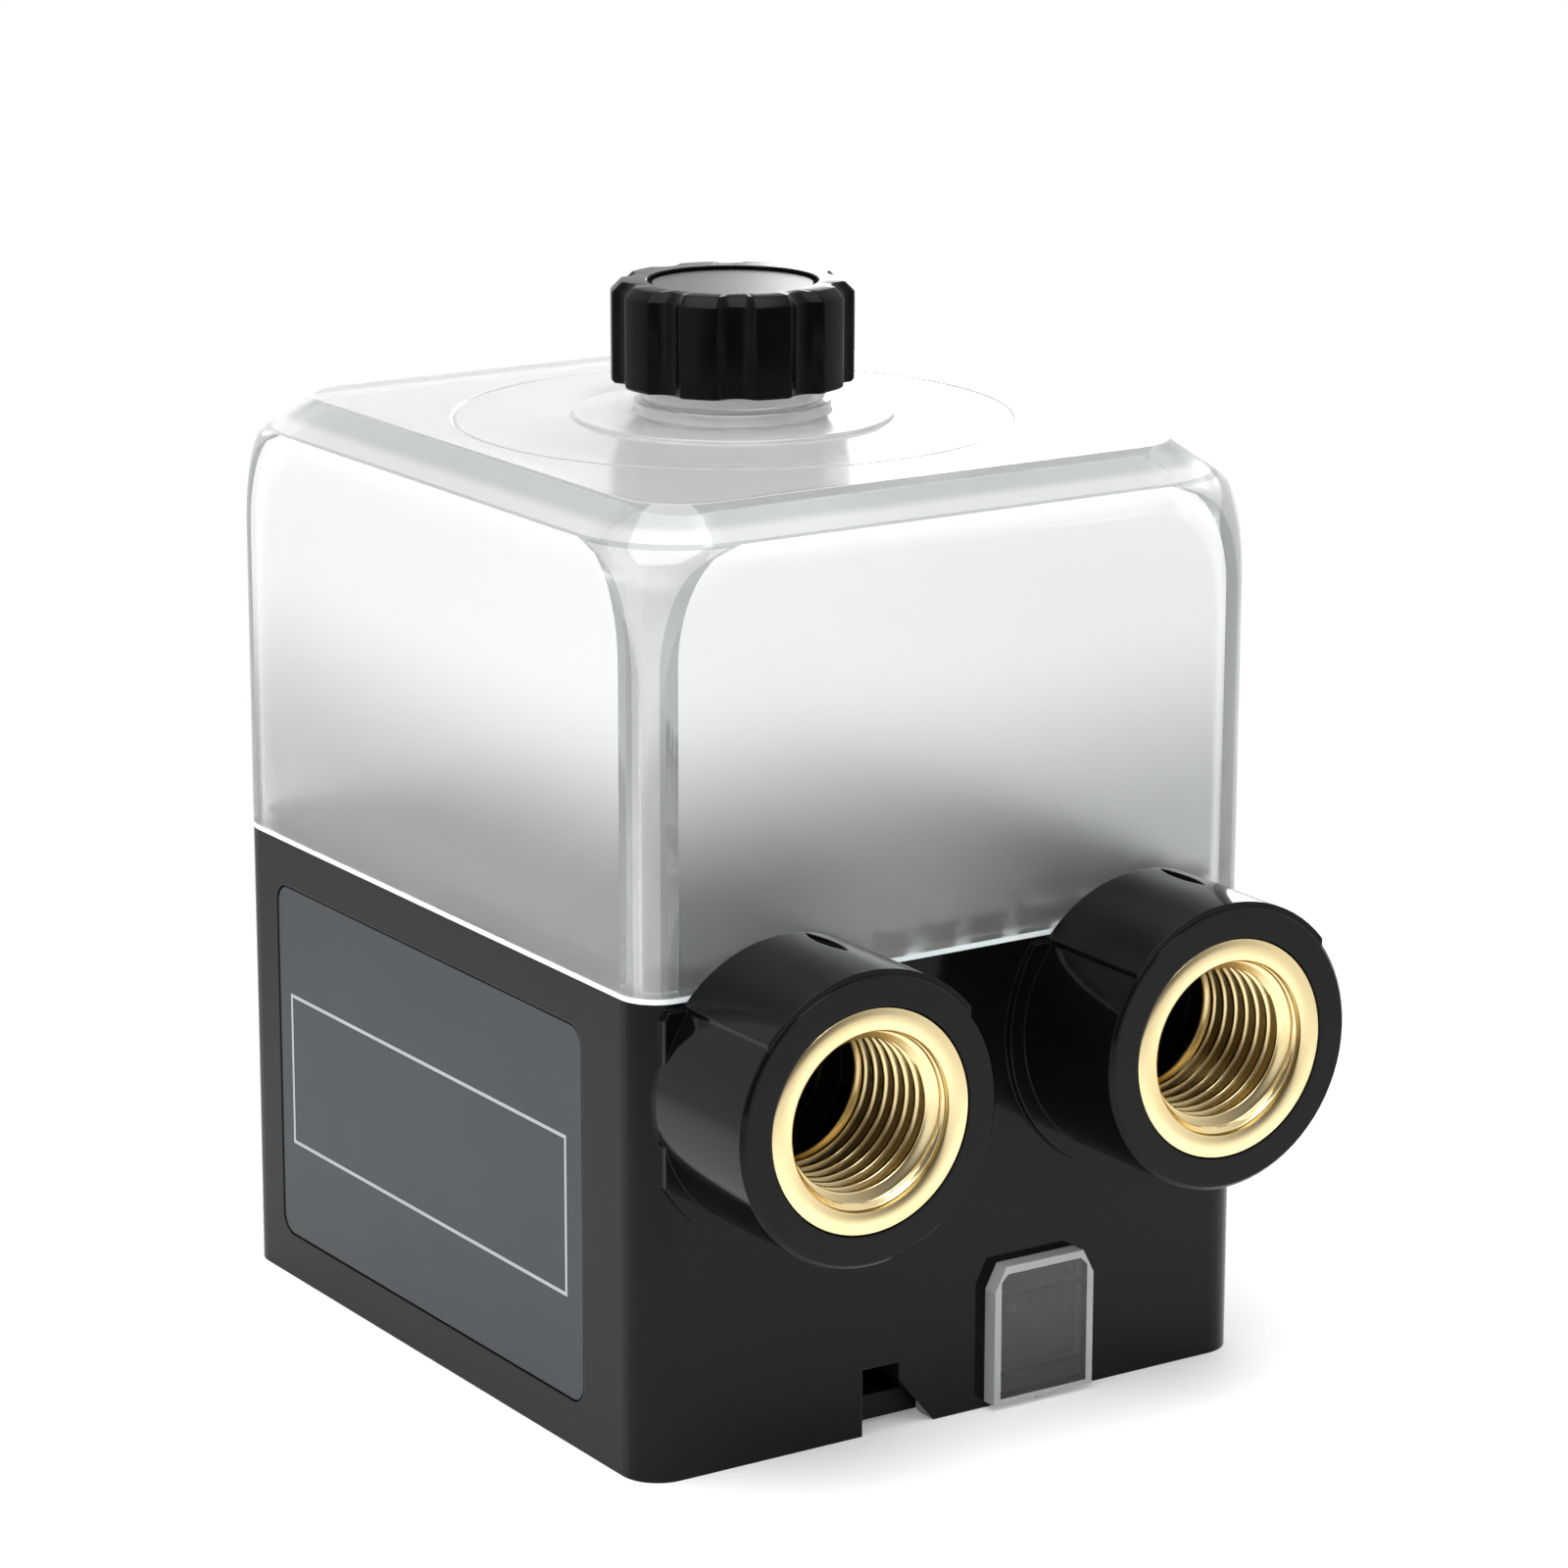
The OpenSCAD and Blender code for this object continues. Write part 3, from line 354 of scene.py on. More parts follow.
# Turns a profile of (radius, height) points once round Z, in steps
def lathe(bm, profile, steps, closed=False):
    points = [bm.verts.new((r * mm, 0, z * mm)) for r, z in profile]
    pairs = list(zip(points, points[1:])) + ([(points[-1], points[0])] if closed else [])
    edges = [bm.edges.new(pair) for pair in pairs]
    bmesh.ops.spin(bm, geom=points + edges, cent=(0, 0, 0), axis=(0, 0, 1), angle=2 * pi, steps=steps, use_merge=True)


# ---- tank ----

tank = {
    "width": 55,
    "depth": 62,
    "bottom": 37.1,
    "panelTop": 69.8,
    "top": 72.2,
    "wall": 2.0,
    "topPlate": 2.2,
    "cornerRadius": 3.1,
    "shoulderRadius": 8.5,
    "shoulderRise": 8.3,
    "bevelIn": 3.6,
    "cornerSteps": 12,
}


# One skin of the tank: upright corners that open out towards the top, then the sloping band
def tankSkin(t, inset, topZ):
    panelZ = topZ - (t["top"] - t["panelTop"])
    low = Matrix.Translation((0, 0, (t["bottom"] + panelZ) / 2 * mm))
    size = Matrix.Diagonal(((t["width"] - 2 * inset) * mm, (t["depth"] - 2 * inset) * mm,
                            (panelZ - t["bottom"]) * mm, 1))
    skin = bmesh.new()
    bmesh.ops.create_cube(skin, size=1, matrix=low @ size)
    upright = [e for e in skin.edges if abs(e.verts[0].co.z - e.verts[1].co.z) > 5 * mm]
    foot = max(t["cornerRadius"] - inset, 1.1)
    bmesh.ops.bevel(skin, geom=upright, offset=foot * mm, offset_type="OFFSET", segments=t["cornerSteps"],
                    profile=0.5, affect="EDGES", material=-1)
    steps = 10
    for i in range(steps):
        height = panelZ - t["shoulderRise"] * (1 - i / steps)
        bmesh.ops.bisect_plane(skin, geom=skin.verts[:] + skin.edges[:] + skin.faces[:], plane_co=(0, 0, height * mm),
                               plane_no=(0, 0, 1))
    bmesh.ops.delete(skin, geom=[f for f in skin.faces if abs(f.normal.z) > 0.9], context="FACES_ONLY")
    rim = [e for e in skin.edges if e.is_boundary and e.verts[0].co.z > (panelZ - 0.1) * mm]
    raised = bmesh.ops.extrude_edge_only(skin, edges=rim)["geom"]
    for v in raised:
        if isinstance(v, bmesh.types.BMVert):
            v.co.z = topZ * mm
    shoulder = t["shoulderRadius"] - inset
    for v in skin.verts:
        x, y, z = v.co.x / mm, v.co.y / mm, v.co.z / mm
        u = min(max((z - panelZ + t["shoulderRise"]) / t["shoulderRise"], 0), 1)
        radius = foot + (shoulder - foot) * (1 - sqrt(1 - u * u))
        sx, sy = (1 if x > 0 else -1), (1 if y > 0 else -1)
        halfW, halfD = t["width"] / 2 - inset, t["depth"] / 2 - inset
        away = Vector((x - sx * (halfW - foot), y - sy * (halfD - foot))) / foot
        if z > panelZ + 0.1:
            out = Vector((sx * (halfW - radius), sy * (halfD - radius))) + away * max(radius - t["bevelIn"], 0.8)
        else:
            out = Vector((sx * (halfW - radius), sy * (halfD - radius))) + away * radius
        v.co.x, v.co.y = out.x * mm, out.y * mm
    return skin


# Filler neck, turned from its profile out to the faint ring on the tank's top
def neckSkin(t):
    top, ring = t["top"], bmesh.new()
    steps = 4 * (t["cornerSteps"] + 1)
    lathe(ring, [
        (60, top), (21.8, top), (21.7, top - 0.1), (21.5, top - 0.1), (21.4, top), (12.75, top), (12.5, top + 0.08),
        (12.45, top + 0.3),
        (12.3, top + 0.4), (8.1, top + 0.4), (7.75, top + 0.5), (7.65, top + 0.75), (7.65, top + 1.25),
        (7.5, top + 1.4),
        (6.75, top + 1.4), (6.75, top + 1.6), (7.1, top + 1.6), (7.2, top + 1.7), (7.2, top + 2.5), (7.1, top + 2.6),
        (6.7, top + 2.6), (6.7, top + 7.8), (6.5, top + 8), (5.1, top + 8), (4.9, top + 7.8),
        (4.9, top - t["topPlate"]), (60, top - t["topPlate"]),
    ], steps)
    bmesh.ops.rotate(ring, cent=(0, 0, 0), matrix=Matrix.Rotation(pi / steps, 3, "Z"), verts=ring.verts[:])
    return ring


# Puts the points of one ring onto those of another, in order round the axis
def meetRing(ring, target):
    for one, other in zip(*(sorted(r, key=lambda v: atan2(v.co.y, v.co.x)) for r in (ring, target))):
        one.co = other.co


def buildTank(t):
    outer = tankSkin(t, 0, t["top"])
    inner = tankSkin(t, t["wall"], t["top"] - t["topPlate"])
    for part in (inner, neckSkin(t)):
        part.normal_update()
        loose = bpy.data.meshes.new("loose")
        part.to_mesh(loose)
        part.free()
        outer.from_mesh(loose)
        bpy.data.meshes.remove(loose)
    for height in (t["top"], t["top"] - t["topPlate"]):
        level = [v for v in outer.verts if v.is_boundary and abs(v.co.z - height * mm) < 0.01 * mm]
        meetRing([v for v in level if v.co.xy.length > 55 * mm], [v for v in level if v.co.xy.length < 55 * mm])
    foot = [e for e in outer.edges if e.is_boundary and e.verts[0].co.z < (t["bottom"] + 0.01) * mm]
    halfW, halfD = (t["width"] / 2 - t["wall"] / 2) * mm, (t["depth"] / 2 - t["wall"] / 2) * mm
    within = [e for e in foot if all(abs(v.co.x) < halfW and abs(v.co.y) < halfD for v in e.verts)]
    outerRing = {v for e in foot if e not in within for v in e.verts}
    rim = bmesh.ops.extrude_edge_only(outer, edges=within)["geom"]
    meetRing([v for v in rim if isinstance(v, bmesh.types.BMVert)], outerRing)
    bmesh.ops.remove_doubles(outer, verts=outer.verts[:], dist=0.001 * mm)
    bmesh.ops.recalc_face_normals(outer, faces=outer.faces[:])
    outer.normal_update()
    for face in outer.faces:
        flat = max(abs(face.normal.x), abs(face.normal.y)) > 0.9995
        middle = face.calc_center_median()
        outside = abs(middle.x) > (t["width"] / 2 - 0.1) * mm or abs(middle.y) > (t["depth"] / 2 - 0.1) * mm
        within = (abs(middle.x) < (t["width"] / 2 - t["wall"] + 0.1) * mm
                  and abs(middle.y) < (t["depth"] / 2 - t["wall"] + 0.1) * mm)
        ceiling = middle.z < (t["top"] - t["topPlate"] + 0.1) * mm
        face.material_index = 1 if flat and outside else 2 if within and ceiling and not flat else 0
    open_ = [e for e in outer.edges if not e.is_manifold]
    print("tank skin:", len(outer.faces), "faces,", len(open_), "open edges")
    return outer


# Acrylic: the panels are sand-blasted in the mould, so they scatter what stands behind them; the edges
# between them and the top are polished outside, over a finely matted inside.
acrylic = {
    "panel": 0.34,
    "panelClear": 0.93,  # share of the light that goes through: low on the panels here, high on them below
    "panelDense": 0.42,
    "denseFrom": 43,
    "denseTo": 60,
    "inside": 0.3,
    "edge": 0.06,
    "top": 0.2,
    "topZ": 72.15,
    "white": "#fbfcfc",
    # painted shade colour for the bends, the sloped band and the line at the panel tops
    "paintedBendShade": "#cdd1d0",
    "bendFrom": 61.5,  # height where the upright bends begin to open out
    "bendTo": 69.5,
    "bendFacing": (0.9, 0.985),
    "bandBlend": 0.3,
    "insideHaze": 0.92,
    "ior": 1.49,
    "edgeHaze": 0.75,
    "topHaze": 0.72,
    # the painted shade band starts at bandFrom, and the painted shade line runs from lineFrom to lineTo
    "bandFrom": 70.75,
    "lineFrom": 69.62,
    "lineTo": 69.95,
}
frosted = newMaterial("acrylic, frosted", acrylic["white"], acrylic["panel"], IOR=acrylic["ior"],
                      Transmission_Weight=1.0)
matted = newMaterial("acrylic, matted inside", acrylic["white"], acrylic["inside"], IOR=acrylic["ior"],
                     Transmission_Weight=acrylic["insideHaze"])
polished = newMaterial("acrylic, polished", acrylic["white"], acrylic["edge"], IOR=acrylic["ior"],
                       Transmission_Weight=1.0)


# Painted shade: the polished edges are painted grey where the wall starts to bend out of a panel or out of the top,
# along a thin line at the panel tops, and left white between.
def paintBendShade(material, a):
    tree = material.node_tree
    shader = tree.nodes["Principled BSDF"]
    place = addNode(tree, "ShaderNodeTexCoord")
    parts = addNode(tree, "ShaderNodeSeparateXYZ", links={"Vector": place.outputs["Object"]})
    facing = addNode(tree, "ShaderNodeSeparateXYZ", links={"Vector": place.outputs["Normal"]})
    aside = addNode(tree, "ShaderNodeMath", {"operation": "ABSOLUTE"}, {0: facing.outputs["X"]})
    along = addNode(tree, "ShaderNodeMath", {"operation": "ABSOLUTE"}, {0: facing.outputs["Y"]})
    most = addNode(tree, "ShaderNodeMath", {"operation": "MAXIMUM"}, {0: aside.outputs[0], 1: along.outputs[0]})
    start = addNode(tree, "ShaderNodeMapRange", {"From Min": a["bendFrom"] * mm, "From Max": a["bendTo"] * mm,
                                                 "To Min": a["bendFacing"][0], "To Max": a["bendFacing"][1]},
                    {"Value": parts.outputs["Z"]})
    bend = addNode(tree, "ShaderNodeMath", {"operation": "GREATER_THAN"},
                   {0: most.outputs[0], 1: start.outputs["Result"]})
    upright = addNode(tree, "ShaderNodeMath", {"operation": "LESS_THAN", 1: a["lineTo"] * mm},
                      {0: parts.outputs["Z"]})
    strip = addNode(tree, "ShaderNodeMath", {"operation": "MULTIPLY"}, {0: bend.outputs[0], 1: upright.outputs[0]})
    band = addNode(tree, "ShaderNodeMapRange",
                   {"interpolation_type": "SMOOTHSTEP", "From Min": (a["bandFrom"] - a["bandBlend"]) * mm,
                    "From Max": (a["bandFrom"] + a["bandBlend"]) * mm},
                   {"Value": parts.outputs["Z"]})
    below = addNode(tree, "ShaderNodeMath", {"operation": "LESS_THAN", 1: a["topZ"] * mm}, {0: parts.outputs["Z"]})
    sloped = addNode(tree, "ShaderNodeMath", {"operation": "MULTIPLY"},
                     {0: band.outputs["Result"], 1: below.outputs[0]})
    lineLow = addNode(tree, "ShaderNodeMath", {"operation": "GREATER_THAN", 1: a["lineFrom"] * mm},
                      {0: parts.outputs["Z"]})
    line = addNode(tree, "ShaderNodeMath", {"operation": "MULTIPLY"}, {0: lineLow.outputs[0], 1: upright.outputs[0]})
    paintedArea = addNode(tree, "ShaderNodeMath", {"operation": "MAXIMUM"}, {0: strip.outputs[0], 1: sloped.outputs[0]})
    grey = addNode(tree, "ShaderNodeMath", {"operation": "MAXIMUM"}, {0: paintedArea.outputs[0], 1: line.outputs[0]})
    # painted shade: grey on the bends, the sloped band and the line
    paintedTone = addNode(tree, "ShaderNodeMix", {"data_type": "RGBA", 6: linear(a["white"]), 7: linear(a["paintedBendShade"])},
                   {0: grey.outputs[0]})
    tree.links.new(paintedTone.outputs[2], shader.inputs["Base Color"])
    flatTop = addNode(tree, "ShaderNodeMath", {"operation": "GREATER_THAN", 1: a["topZ"] * mm},
                      {0: parts.outputs["Z"]})
    rough = addNode(tree, "ShaderNodeMix", {"data_type": "FLOAT", 2: a["edge"], 3: a["top"]}, {0: flatTop.outputs[0]})
    tree.links.new(rough.outputs[0], shader.inputs["Roughness"])
    clear = addNode(tree, "ShaderNodeMix", {"data_type": "FLOAT", 2: a["edgeHaze"], 3: a["topHaze"]},
                    {0: flatTop.outputs[0]})
    tree.links.new(clear.outputs[0], shader.inputs["Transmission Weight"])


# The blasting is lighter low on the panels: what stands on the tank floor shows through there as a blur.
def blastPanels(material, a):
    tree = material.node_tree
    place = addNode(tree, "ShaderNodeTexCoord")
    parts = addNode(tree, "ShaderNodeSeparateXYZ", links={"Vector": place.outputs["Object"]})
    clear = addNode(tree, "ShaderNodeMapRange", {"interpolation_type": "SMOOTHSTEP", "From Min": a["denseFrom"] * mm,
                                                 "From Max": a["denseTo"] * mm, "To Min": a["panelClear"],
                                                 "To Max": a["panelDense"]}, {"Value": parts.outputs["Z"]})
    tree.links.new(clear.outputs["Result"], tree.nodes["Principled BSDF"].inputs["Transmission Weight"])


paintBendShade(polished, acrylic)
blastPanels(frosted, acrylic)
tankPiece = putMesh("tankShell", buildTank(tank), "root", "tank", polished, frosted, matted)
easing = tankPiece.modifiers.new("eased edges", "BEVEL")
easing.width, easing.segments, easing.limit_method, easing.angle_limit = 0.35 * mm, 3, "ANGLE", radians(28)
easing.harden_normals = True
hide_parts("reservoir_tank")
print("tank built")

# ---- ports ----

port = {
    "outletX": -15.4,
    "inletX": 16.8,
    "z": 29.3,
    "innerY": -31.5,
    "frontY": -42.5,
    "outer": 8.5,
    "mouth": 6.75,
    "mouthDepth": 0.6,
    "core": 5.72,
    "major": 6.58,
    "pitch": 1.337,
}


# Depth of the thread at one place: 55 degree flanks with rounded crests and roots
def threadRadius(p, along, turn):
    phase = ((along / p["pitch"] - turn / (2 * pi)) % 1.0) * 2 - 1
    wave = 1 - abs(phase) * 2
    wave = max(min(wave * 1.5, 1), -1)
    return (p["core"] + p["major"]) / 2 + (p["major"] - p["core"]) / 2 * sin(wave * pi / 2)


def buildInsert(p, x, rows=190, around=96):
    length = p["innerY"] - p["frontY"]
    bore = [(p["core"], length * i / rows) for i in range(rows)]
    shape = bmesh.new()
    lathe(shape, bore + [
        (p["mouth"], length - 0.12), (p["mouth"] + 0.12, length), (p["outer"] - 0.15, length),
        (p["outer"], length - 0.15),
        (p["outer"], 6.2), (p["outer"] - 0.5, 5.7), (p["outer"] - 0.5, 3.7), (p["outer"], 3.2), (p["outer"], 0.3),
        (p["outer"] - 0.3, 0),
    ], around, closed=True)
    coneEnd = length - p["mouthDepth"]
    for v in shape.verts:
        r, along = hypot(v.co.x, v.co.y) / mm, v.co.z / mm
        if r < p["core"] + 0.05:
            turn = atan2(v.co.y, v.co.x)
            cone = p["mouth"] - max(coneEnd - along, 0)
            fade = min(along / 1.2, 1)
            new = max(p["core"] + (threadRadius(p, along, turn) - p["core"]) * fade, min(cone, p["mouth"]))
            v.co.x, v.co.y = v.co.x * new / r, v.co.y * new / r
    bmesh.ops.recalc_face_normals(shape, faces=shape.faces[:])
    lay = Matrix.Translation((x * mm, p["innerY"] * mm, p["z"] * mm)) @ Matrix.Rotation(pi / 2, 4, "X")
    bmesh.ops.transform(shape, matrix=lay, verts=shape.verts[:])
    return shape


# Brass, turned: fine tool rings round the port on the front face, a pale gold satin.
def turnedBrass(name, p, x):
    material = newMaterial(name, "#ebd095", 0.24, Metallic=1.0)
    tree = material.node_tree
    shader = tree.nodes["Principled BSDF"]
    where = addNode(tree, "ShaderNodeTexCoord")
    centred = addNode(tree, "ShaderNodeMapping", {"Location": (-x * mm, 0, -p["z"] * mm)},
                      {"Vector": where.outputs["Object"]})
    flat = addNode(tree, "ShaderNodeMapping", {"Scale": (1, 0, 1)}, {"Vector": centred.outputs["Vector"]})
    rings = addNode(tree, "ShaderNodeTexWave", {"wave_type": "RINGS", "rings_direction": "SPHERICAL",
                                               "Scale": 0.314 / (0.12 * mm), "Distortion": 0.3, "Detail": 1.0},
                    {"Vector": flat.outputs["Vector"]})
    broad = addNode(tree, "ShaderNodeTexNoise", {"Scale": 1 / (4 * mm), "Detail": 2.0},
                    {"Vector": where.outputs["Object"]})
    tint = addNode(tree, "ShaderNodeMix", {"data_type": "RGBA", 6: linear("#eed89f"), 7: linear("#f5e3b6")},
                   {0: broad.outputs["Fac"]})
    tree.links.new(tint.outputs[2], shader.inputs["Base Color"])
    bump = addNode(tree, "ShaderNodeBump", {"Strength": 0.6, "Distance": 0.004 * mm},
                   {"Height": rings.outputs["Fac"]})
    tree.links.new(bump.outputs["Normal"], shader.inputs["Normal"])
    return material


for name, node, x in (("outletInsert", "outlet_insert", port["outletX"]),
                      ("inletInsert", "inlet_insert", port["inletX"])):
    insert = putMesh(name, buildInsert(port, x), "root", "insert",
                     turnedBrass("turned brass, " + node.split("_")[0], port, x), smoothBelow=50)
    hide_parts(node)
print("threaded inserts built")

# ---- cap ----

cap = {
    "low": 75.0,
    "height": 7.8,
    "radius": 9.4,
    "lobes": 10,
    "phase": 23.2,
    "grooveRadius": 1.95,
    "grooveDepth": 0.78,
    "lip": 0.3,  # rounding of the groove's lips
    "chamfer": 0.7,
    "bore": 7.45,
    "roof": 81.3,
    "discRadius": 6.6,
    "discDepth": 0.25,
    "ringGroove": 0.5,
}


# Radius of the cap at one angle: a circle with shallow round grooves, their lips rounded over
def capRadius(c, turn):
    step = 2 * pi / c["lobes"]
    off = (turn - radians(c["phase"]) + step / 2) % step - step / 2
    centre = c["radius"] - c["grooveDepth"] + c["grooveRadius"]
    inside = c["grooveRadius"] ** 2 - (centre * sin(off)) ** 2
    if inside <= 0:
        return c["radius"]
    groove = centre * cos(off) - sqrt(inside)
    gap = c["radius"] - groove
    return c["radius"] - max(gap + sqrt(gap * gap + (c["lip"] * 0.25) ** 2), 0) / 2 if gap > -0.4 else c["radius"]


def buildCap(c):
    top = c["low"] + c["height"]
    around = 360
    shape = bmesh.new()
    lathe(shape, [
        (c["bore"], c["low"] + 0.2), (c["bore"] + 0.2, c["low"]), (9.2, c["low"]), (9.4, c["low"] + 0.2),
        (9.4, top - c["chamfer"] - 0.1), (9.33, top - c["chamfer"]), (9.4 - c["chamfer"], top - 0.07),
        (9.3 - c["chamfer"], top), (c["discRadius"] + 0.08, top), (c["discRadius"], top - 0.08),
        (c["discRadius"], top - c["ringGroove"]), (c["discRadius"] - 0.35, top - c["ringGroove"]),
        (c["discRadius"] - 0.35, top - c["discDepth"] - 0.06), (c["discRadius"] - 0.41, top - c["discDepth"]),
        (2, top - c["discDepth"]), (0.3, top - c["discDepth"]),
    ], around)
    lathe(shape, [(c["bore"], c["low"] + 0.2), (c["bore"], c["roof"]), (2, c["roof"]), (0.3, c["roof"])], around)
    bmesh.ops.remove_doubles(shape, verts=shape.verts[:], dist=0.001 * mm)
    bmesh.ops.holes_fill(shape, edges=[e for e in shape.edges if e.is_boundary], sides=around)
    for v in shape.verts:
        r = hypot(v.co.x, v.co.y) / mm
        if r > 8.4:
            new = capRadius(c, atan2(v.co.y, v.co.x)) - (c["radius"] - r)
            v.co.x, v.co.y = v.co.x * new / r, v.co.y * new / r
    bmesh.ops.recalc_face_normals(shape, faces=shape.faces[:])
    return shape


# ABS cap, moulded in black with a fine satin texture.
capPlastic = giveSurface(newMaterial("black ABS, satin", "#050505", 0.25, IOR=1.5, Specular_IOR_Level=0.09),
                         "#040404", "#070707", 0.25, 0.002)
capPiece = putMesh("fillerCap", buildCap(cap), "cap", "cap", capPlastic, smoothBelow=40)
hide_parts("filler_cap")
print("cap built")


# Helical thread as a swept ridge: one turn of the wedge is spun and lifted by the lead each turn
def buildThread(root, crest, low, turns, lead, startAngle, base=1.1, tip=0.4, steps=64):
    shape = bmesh.new()
    start = Matrix.Rotation(radians(startAngle), 4, "Z")
    profile = [(root, -base / 2), (crest, -tip / 2), (crest, tip / 2), (root, base / 2)]
    points = [shape.verts.new(start @ Vector((r * mm, 0, (low + z) * mm))) for r, z in profile]
    edges = [shape.edges.new(pair) for pair in zip(points, points[1:] + points[:1])]
    face = shape.faces.new(points)
    bmesh.ops.spin(shape, geom=points + edges + [face], cent=(0, 0, 0), axis=(0, 0, 1),
                   dvec=(0, 0, lead * mm / steps), angle=2 * pi * turns, steps=int(steps * turns))
    bmesh.ops.remove_doubles(shape, verts=shape.verts[:], dist=0.0005 * mm)
    bmesh.ops.recalc_face_normals(shape, faces=shape.faces[:])
    return shape


putMesh("neckThread", buildThread(6.68, 7.05, 75.6, 2.0, 2.0, 0), "root", "tank", polished)
putMesh("capThread", buildThread(7.47, 7.15, 76.6, 1.7, 2.0, 0, base=0.9), "cap", "cap", capPlastic)
print("cap thread built")

# ---- label ----

# The label carries no print: only a plain ruled box, screen printed in pale grey
label = {"x": -27.47, "box": (-21.3, 11.6, 43.0, 12.6), "line": 0.28, "lift": 0.02}


def ruledBox(l):
    shape = bmesh.new()
    y0, z0, width, height = l["box"]
    size = Matrix.Diagonal((width / 2 * mm, height / 2 * mm, 1, 1))
    bmesh.ops.create_grid(shape, x_segments=1, y_segments=1, size=1, matrix=size)
    bmesh.ops.inset_region(shape, faces=shape.faces[:], thickness=l["line"] * mm, use_even_offset=True,
                            use_boundary=True)
    bmesh.ops.delete(shape, geom=[max(shape.faces, key=lambda f: f.calc_area())], context="FACES")
    stand = Matrix.Translation((l["x"] * mm, (1.2 + y0 + width / 2) * mm, (z0 + height / 2) * mm)) @ Matrix.Rotation(
        -pi / 2, 4, "Z") @ Matrix.Rotation(pi / 2, 4, "X")
    bmesh.ops.transform(shape, matrix=stand, verts=shape.verts[:])
    bmesh.ops.recalc_face_normals(shape, faces=shape.faces[:])
    bmesh.ops.solidify(shape, geom=shape.faces[:], thickness=l["lift"] * mm)
    return shape


paleInk = giveSurface(newMaterial("pale grey ink", "#a9adaf", 0.5), "#a2a6a8", "#b0b4b6", 0.3, 0.001)
putMesh("labelRule", ruledBox(label), "root", "label", paleInk)
print("label ruled")

# ---- floor and light ----

floorStage = {"size": 6.0, "near": 0.07, "far": 0.17, "lift": 0.2}


# Matt white card. It keeps the object's shadow close by, and fades to plain white further out.
def buildFloor(f):
    shape = bmesh.new()
    bmesh.ops.create_grid(shape, x_segments=1, y_segments=1, size=f["size"] / 2)
    mesh = bpy.data.meshes.new("floor")
    shape.to_mesh(mesh)
    shape.free()
    piece = bpy.data.objects.new("floor", mesh)
    bpy.context.scene.collection.objects.link(piece)
    material = bpy.data.materials.new("white card")
    material.use_nodes = True
    tree = material.node_tree
    tree.nodes.clear()
    out = addNode(tree, "ShaderNodeOutputMaterial")
    where = addNode(tree, "ShaderNodeTexCoord")
    reach = addNode(tree, "ShaderNodeVectorMath", {"operation": "LENGTH"}, {0: where.outputs["Object"]})
    fade = addNode(tree, "ShaderNodeMapRange",
                   {"interpolation_type": "SMOOTHSTEP", "From Min": f["near"], "From Max": f["far"]},
                   {"Value": reach.outputs["Value"]})
    card = addNode(tree, "ShaderNodeBsdfDiffuse", {"Color": linear("#e6e6e6")})
    lift = addNode(tree, "ShaderNodeEmission", {"Color": (1, 1, 1, 1), "Strength": f["lift"]})
    lifted = addNode(tree, "ShaderNodeAddShader", links={0: card.outputs[0], 1: lift.outputs[0]})
    white = addNode(tree, "ShaderNodeEmission", {"Color": (1, 1, 1, 1), "Strength": 1.0})
    shown = addNode(tree, "ShaderNodeMixShader",
                    links={0: fade.outputs["Result"], 1: lifted.outputs[0], 2: white.outputs[0]})
    path = addNode(tree, "ShaderNodeLightPath")
    seen = addNode(tree, "ShaderNodeMath", {"operation": "ADD"},
                   {0: path.outputs["Is Camera Ray"], 1: path.outputs["Is Glossy Ray"]})
    seenToo = addNode(tree, "ShaderNodeMath", {"operation": "ADD", "use_clamp": True},
                      {0: seen.outputs[0], 1: path.outputs["Is Transmission Ray"]})
    both = addNode(tree, "ShaderNodeMixShader",
                   links={0: seenToo.outputs[0], 1: card.outputs[0], 2: shown.outputs[0]})
    tree.links.new(both.outputs[0], out.inputs["Surface"])
    mesh.materials.append(material)


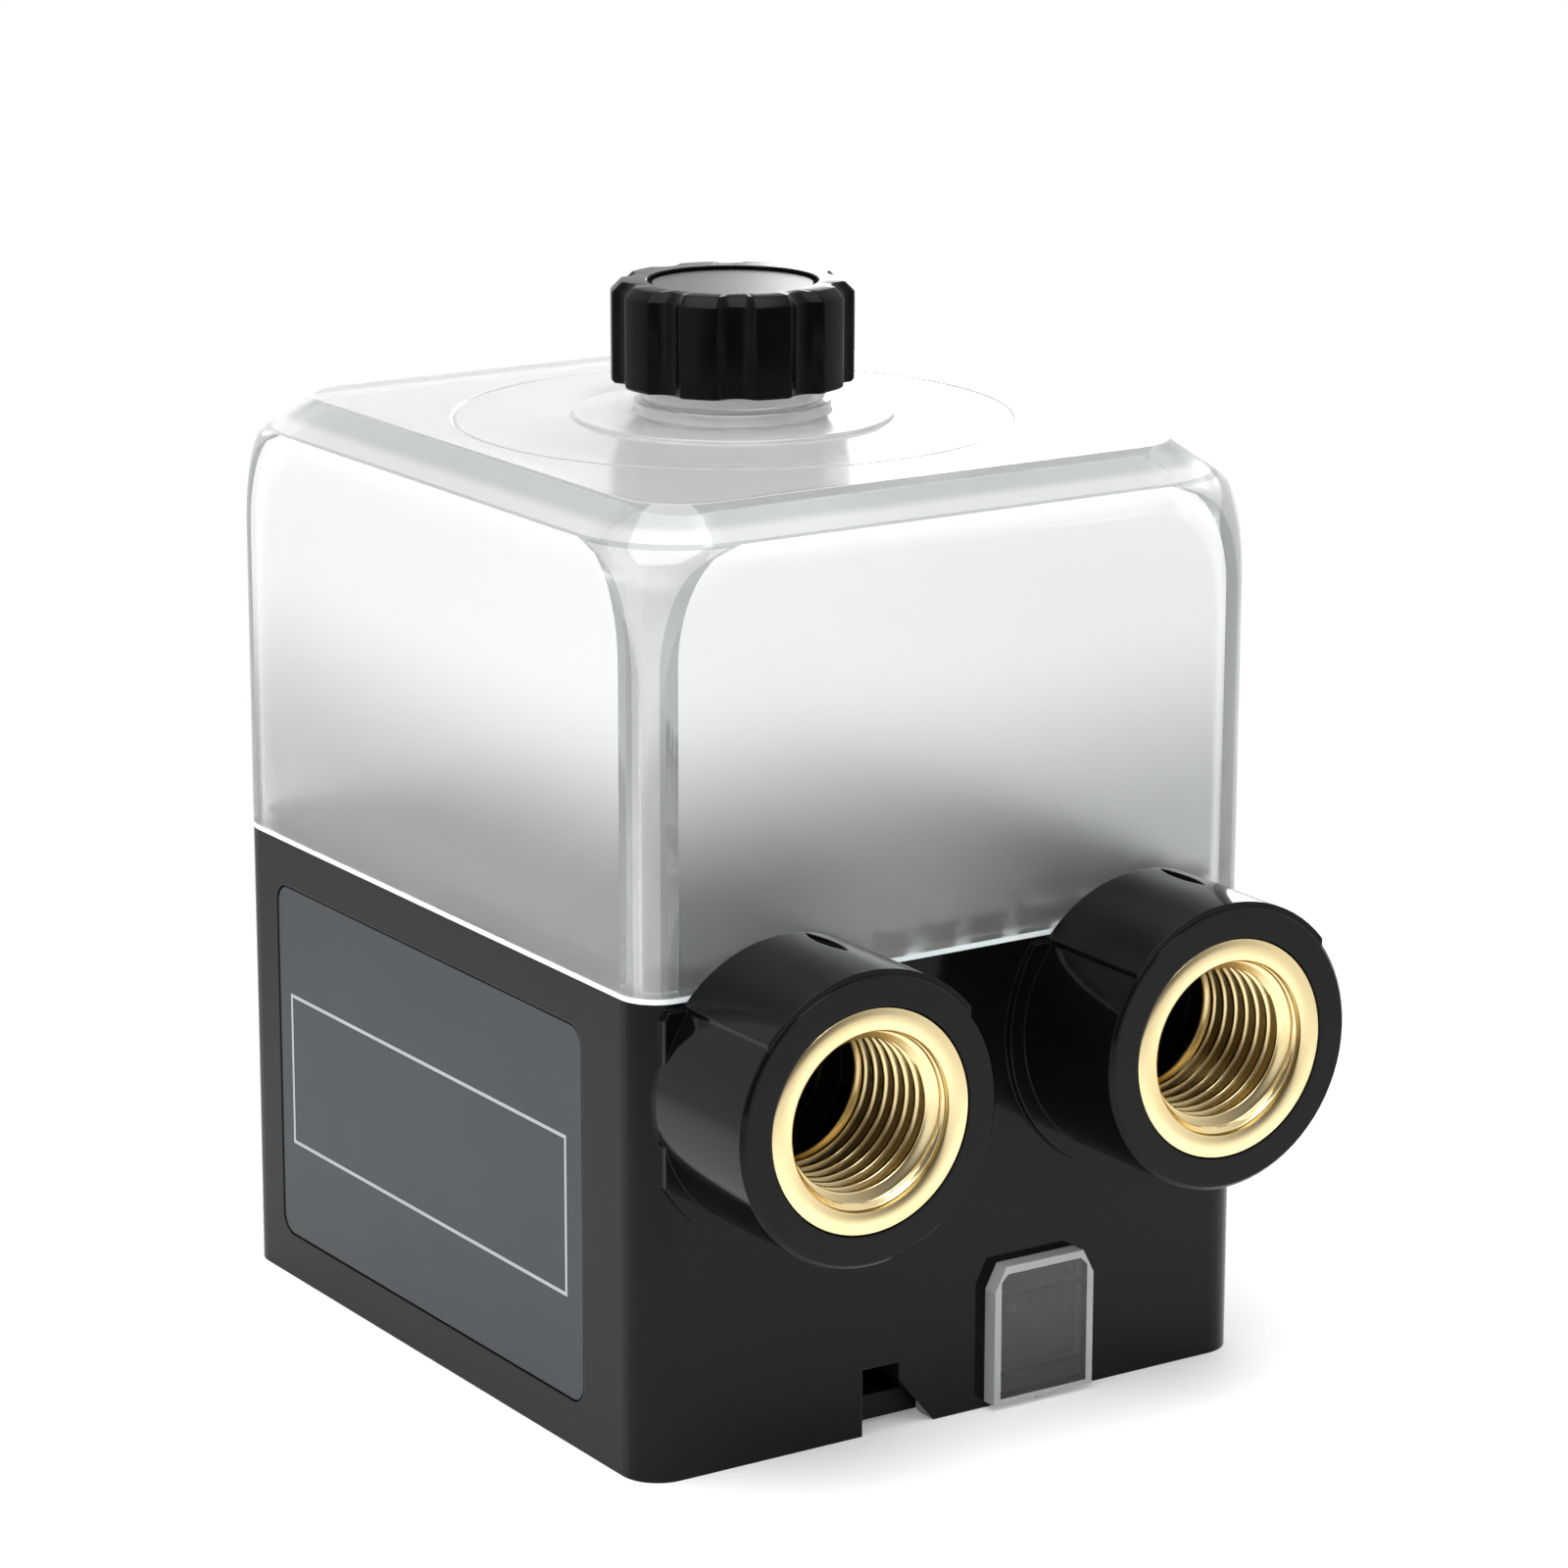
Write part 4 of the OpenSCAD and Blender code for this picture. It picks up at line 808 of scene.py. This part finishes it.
def buildWorld(plain):
    world = bpy.data.worlds.new("studio")
    bpy.context.scene.world = world
    world.use_nodes = True
    tree = world.node_tree
    tree.nodes.clear()
    out = addNode(tree, "ShaderNodeOutputWorld")
    path = addNode(tree, "ShaderNodeLightPath")
    seen = addNode(tree, "ShaderNodeMath", {"operation": "ADD"},
                   {0: path.outputs["Is Camera Ray"], 1: path.outputs["Is Glossy Ray"]})
    seenToo = addNode(tree, "ShaderNodeMath", {"operation": "ADD", "use_clamp": True},
                      {0: seen.outputs[0], 1: path.outputs["Is Transmission Ray"]})
    soft = addNode(tree, "ShaderNodeBackground", {"Color": (1, 1, 1, 1), "Strength": plain})
    where = addNode(tree, "ShaderNodeTexCoord")  # the room is darker on the side that the ports face
    toPorts = addNode(tree, "ShaderNodeVectorMath", {"operation": "DOT_PRODUCT", 1: (-0.53, -0.8, 0.1)},
                      {0: where.outputs["Generated"]})
    room = addNode(tree, "ShaderNodeMapRange", {"interpolation_type": "SMOOTHSTEP", "From Min": -0.2, "From Max": 0.8,
                                                "To Min": 1.0, "To Max": 0.12}, {"Value": toPorts.outputs["Value"]})
    mirrored = addNode(tree, "ShaderNodeMix", {"data_type": "FLOAT", 2: 1.0},
                       {0: path.outputs["Is Glossy Ray"], 3: room.outputs["Result"]})
    white = addNode(tree, "ShaderNodeBackground", {"Color": (1, 1, 1, 1)}, {"Strength": mirrored.outputs[0]})
    both = addNode(tree, "ShaderNodeMixShader",
                   links={0: seenToo.outputs[0], 1: soft.outputs[0], 2: white.outputs[0]})
    tree.links.new(both.outputs[0], out.inputs["Surface"])


def softBox(name, place, aim, width, height, watts):
    data = bpy.data.lights.new(name, "AREA")
    data.shape, data.size, data.size_y, data.energy = "RECTANGLE", width, height, watts
    box = bpy.data.objects.new(name, data)
    box.location = place
    box.rotation_euler = (Vector(aim) - Vector(place)).to_track_quat("-Z", "Y").to_euler()
    bpy.context.scene.collection.objects.link(box)


buildFloor(floorStage)
buildWorld(0.95)
softBox("top softbox", (-0.1, -0.1, 0.55), (0, 0, 0.03), 0.5, 0.5, 3.0)
softBox("right softbox", (0.42, 0.5, 0.12), (0.02, -0.02, 0.04), 0.15, 0.4, 0.9)
softBox("left softbox", (-0.55, -0.1, 0.25), (0, 0, 0.04), 0.35, 0.45, 0.5)

view = bpy.context.scene.view_settings
view.view_transform = "Standard"
print("stage lit")
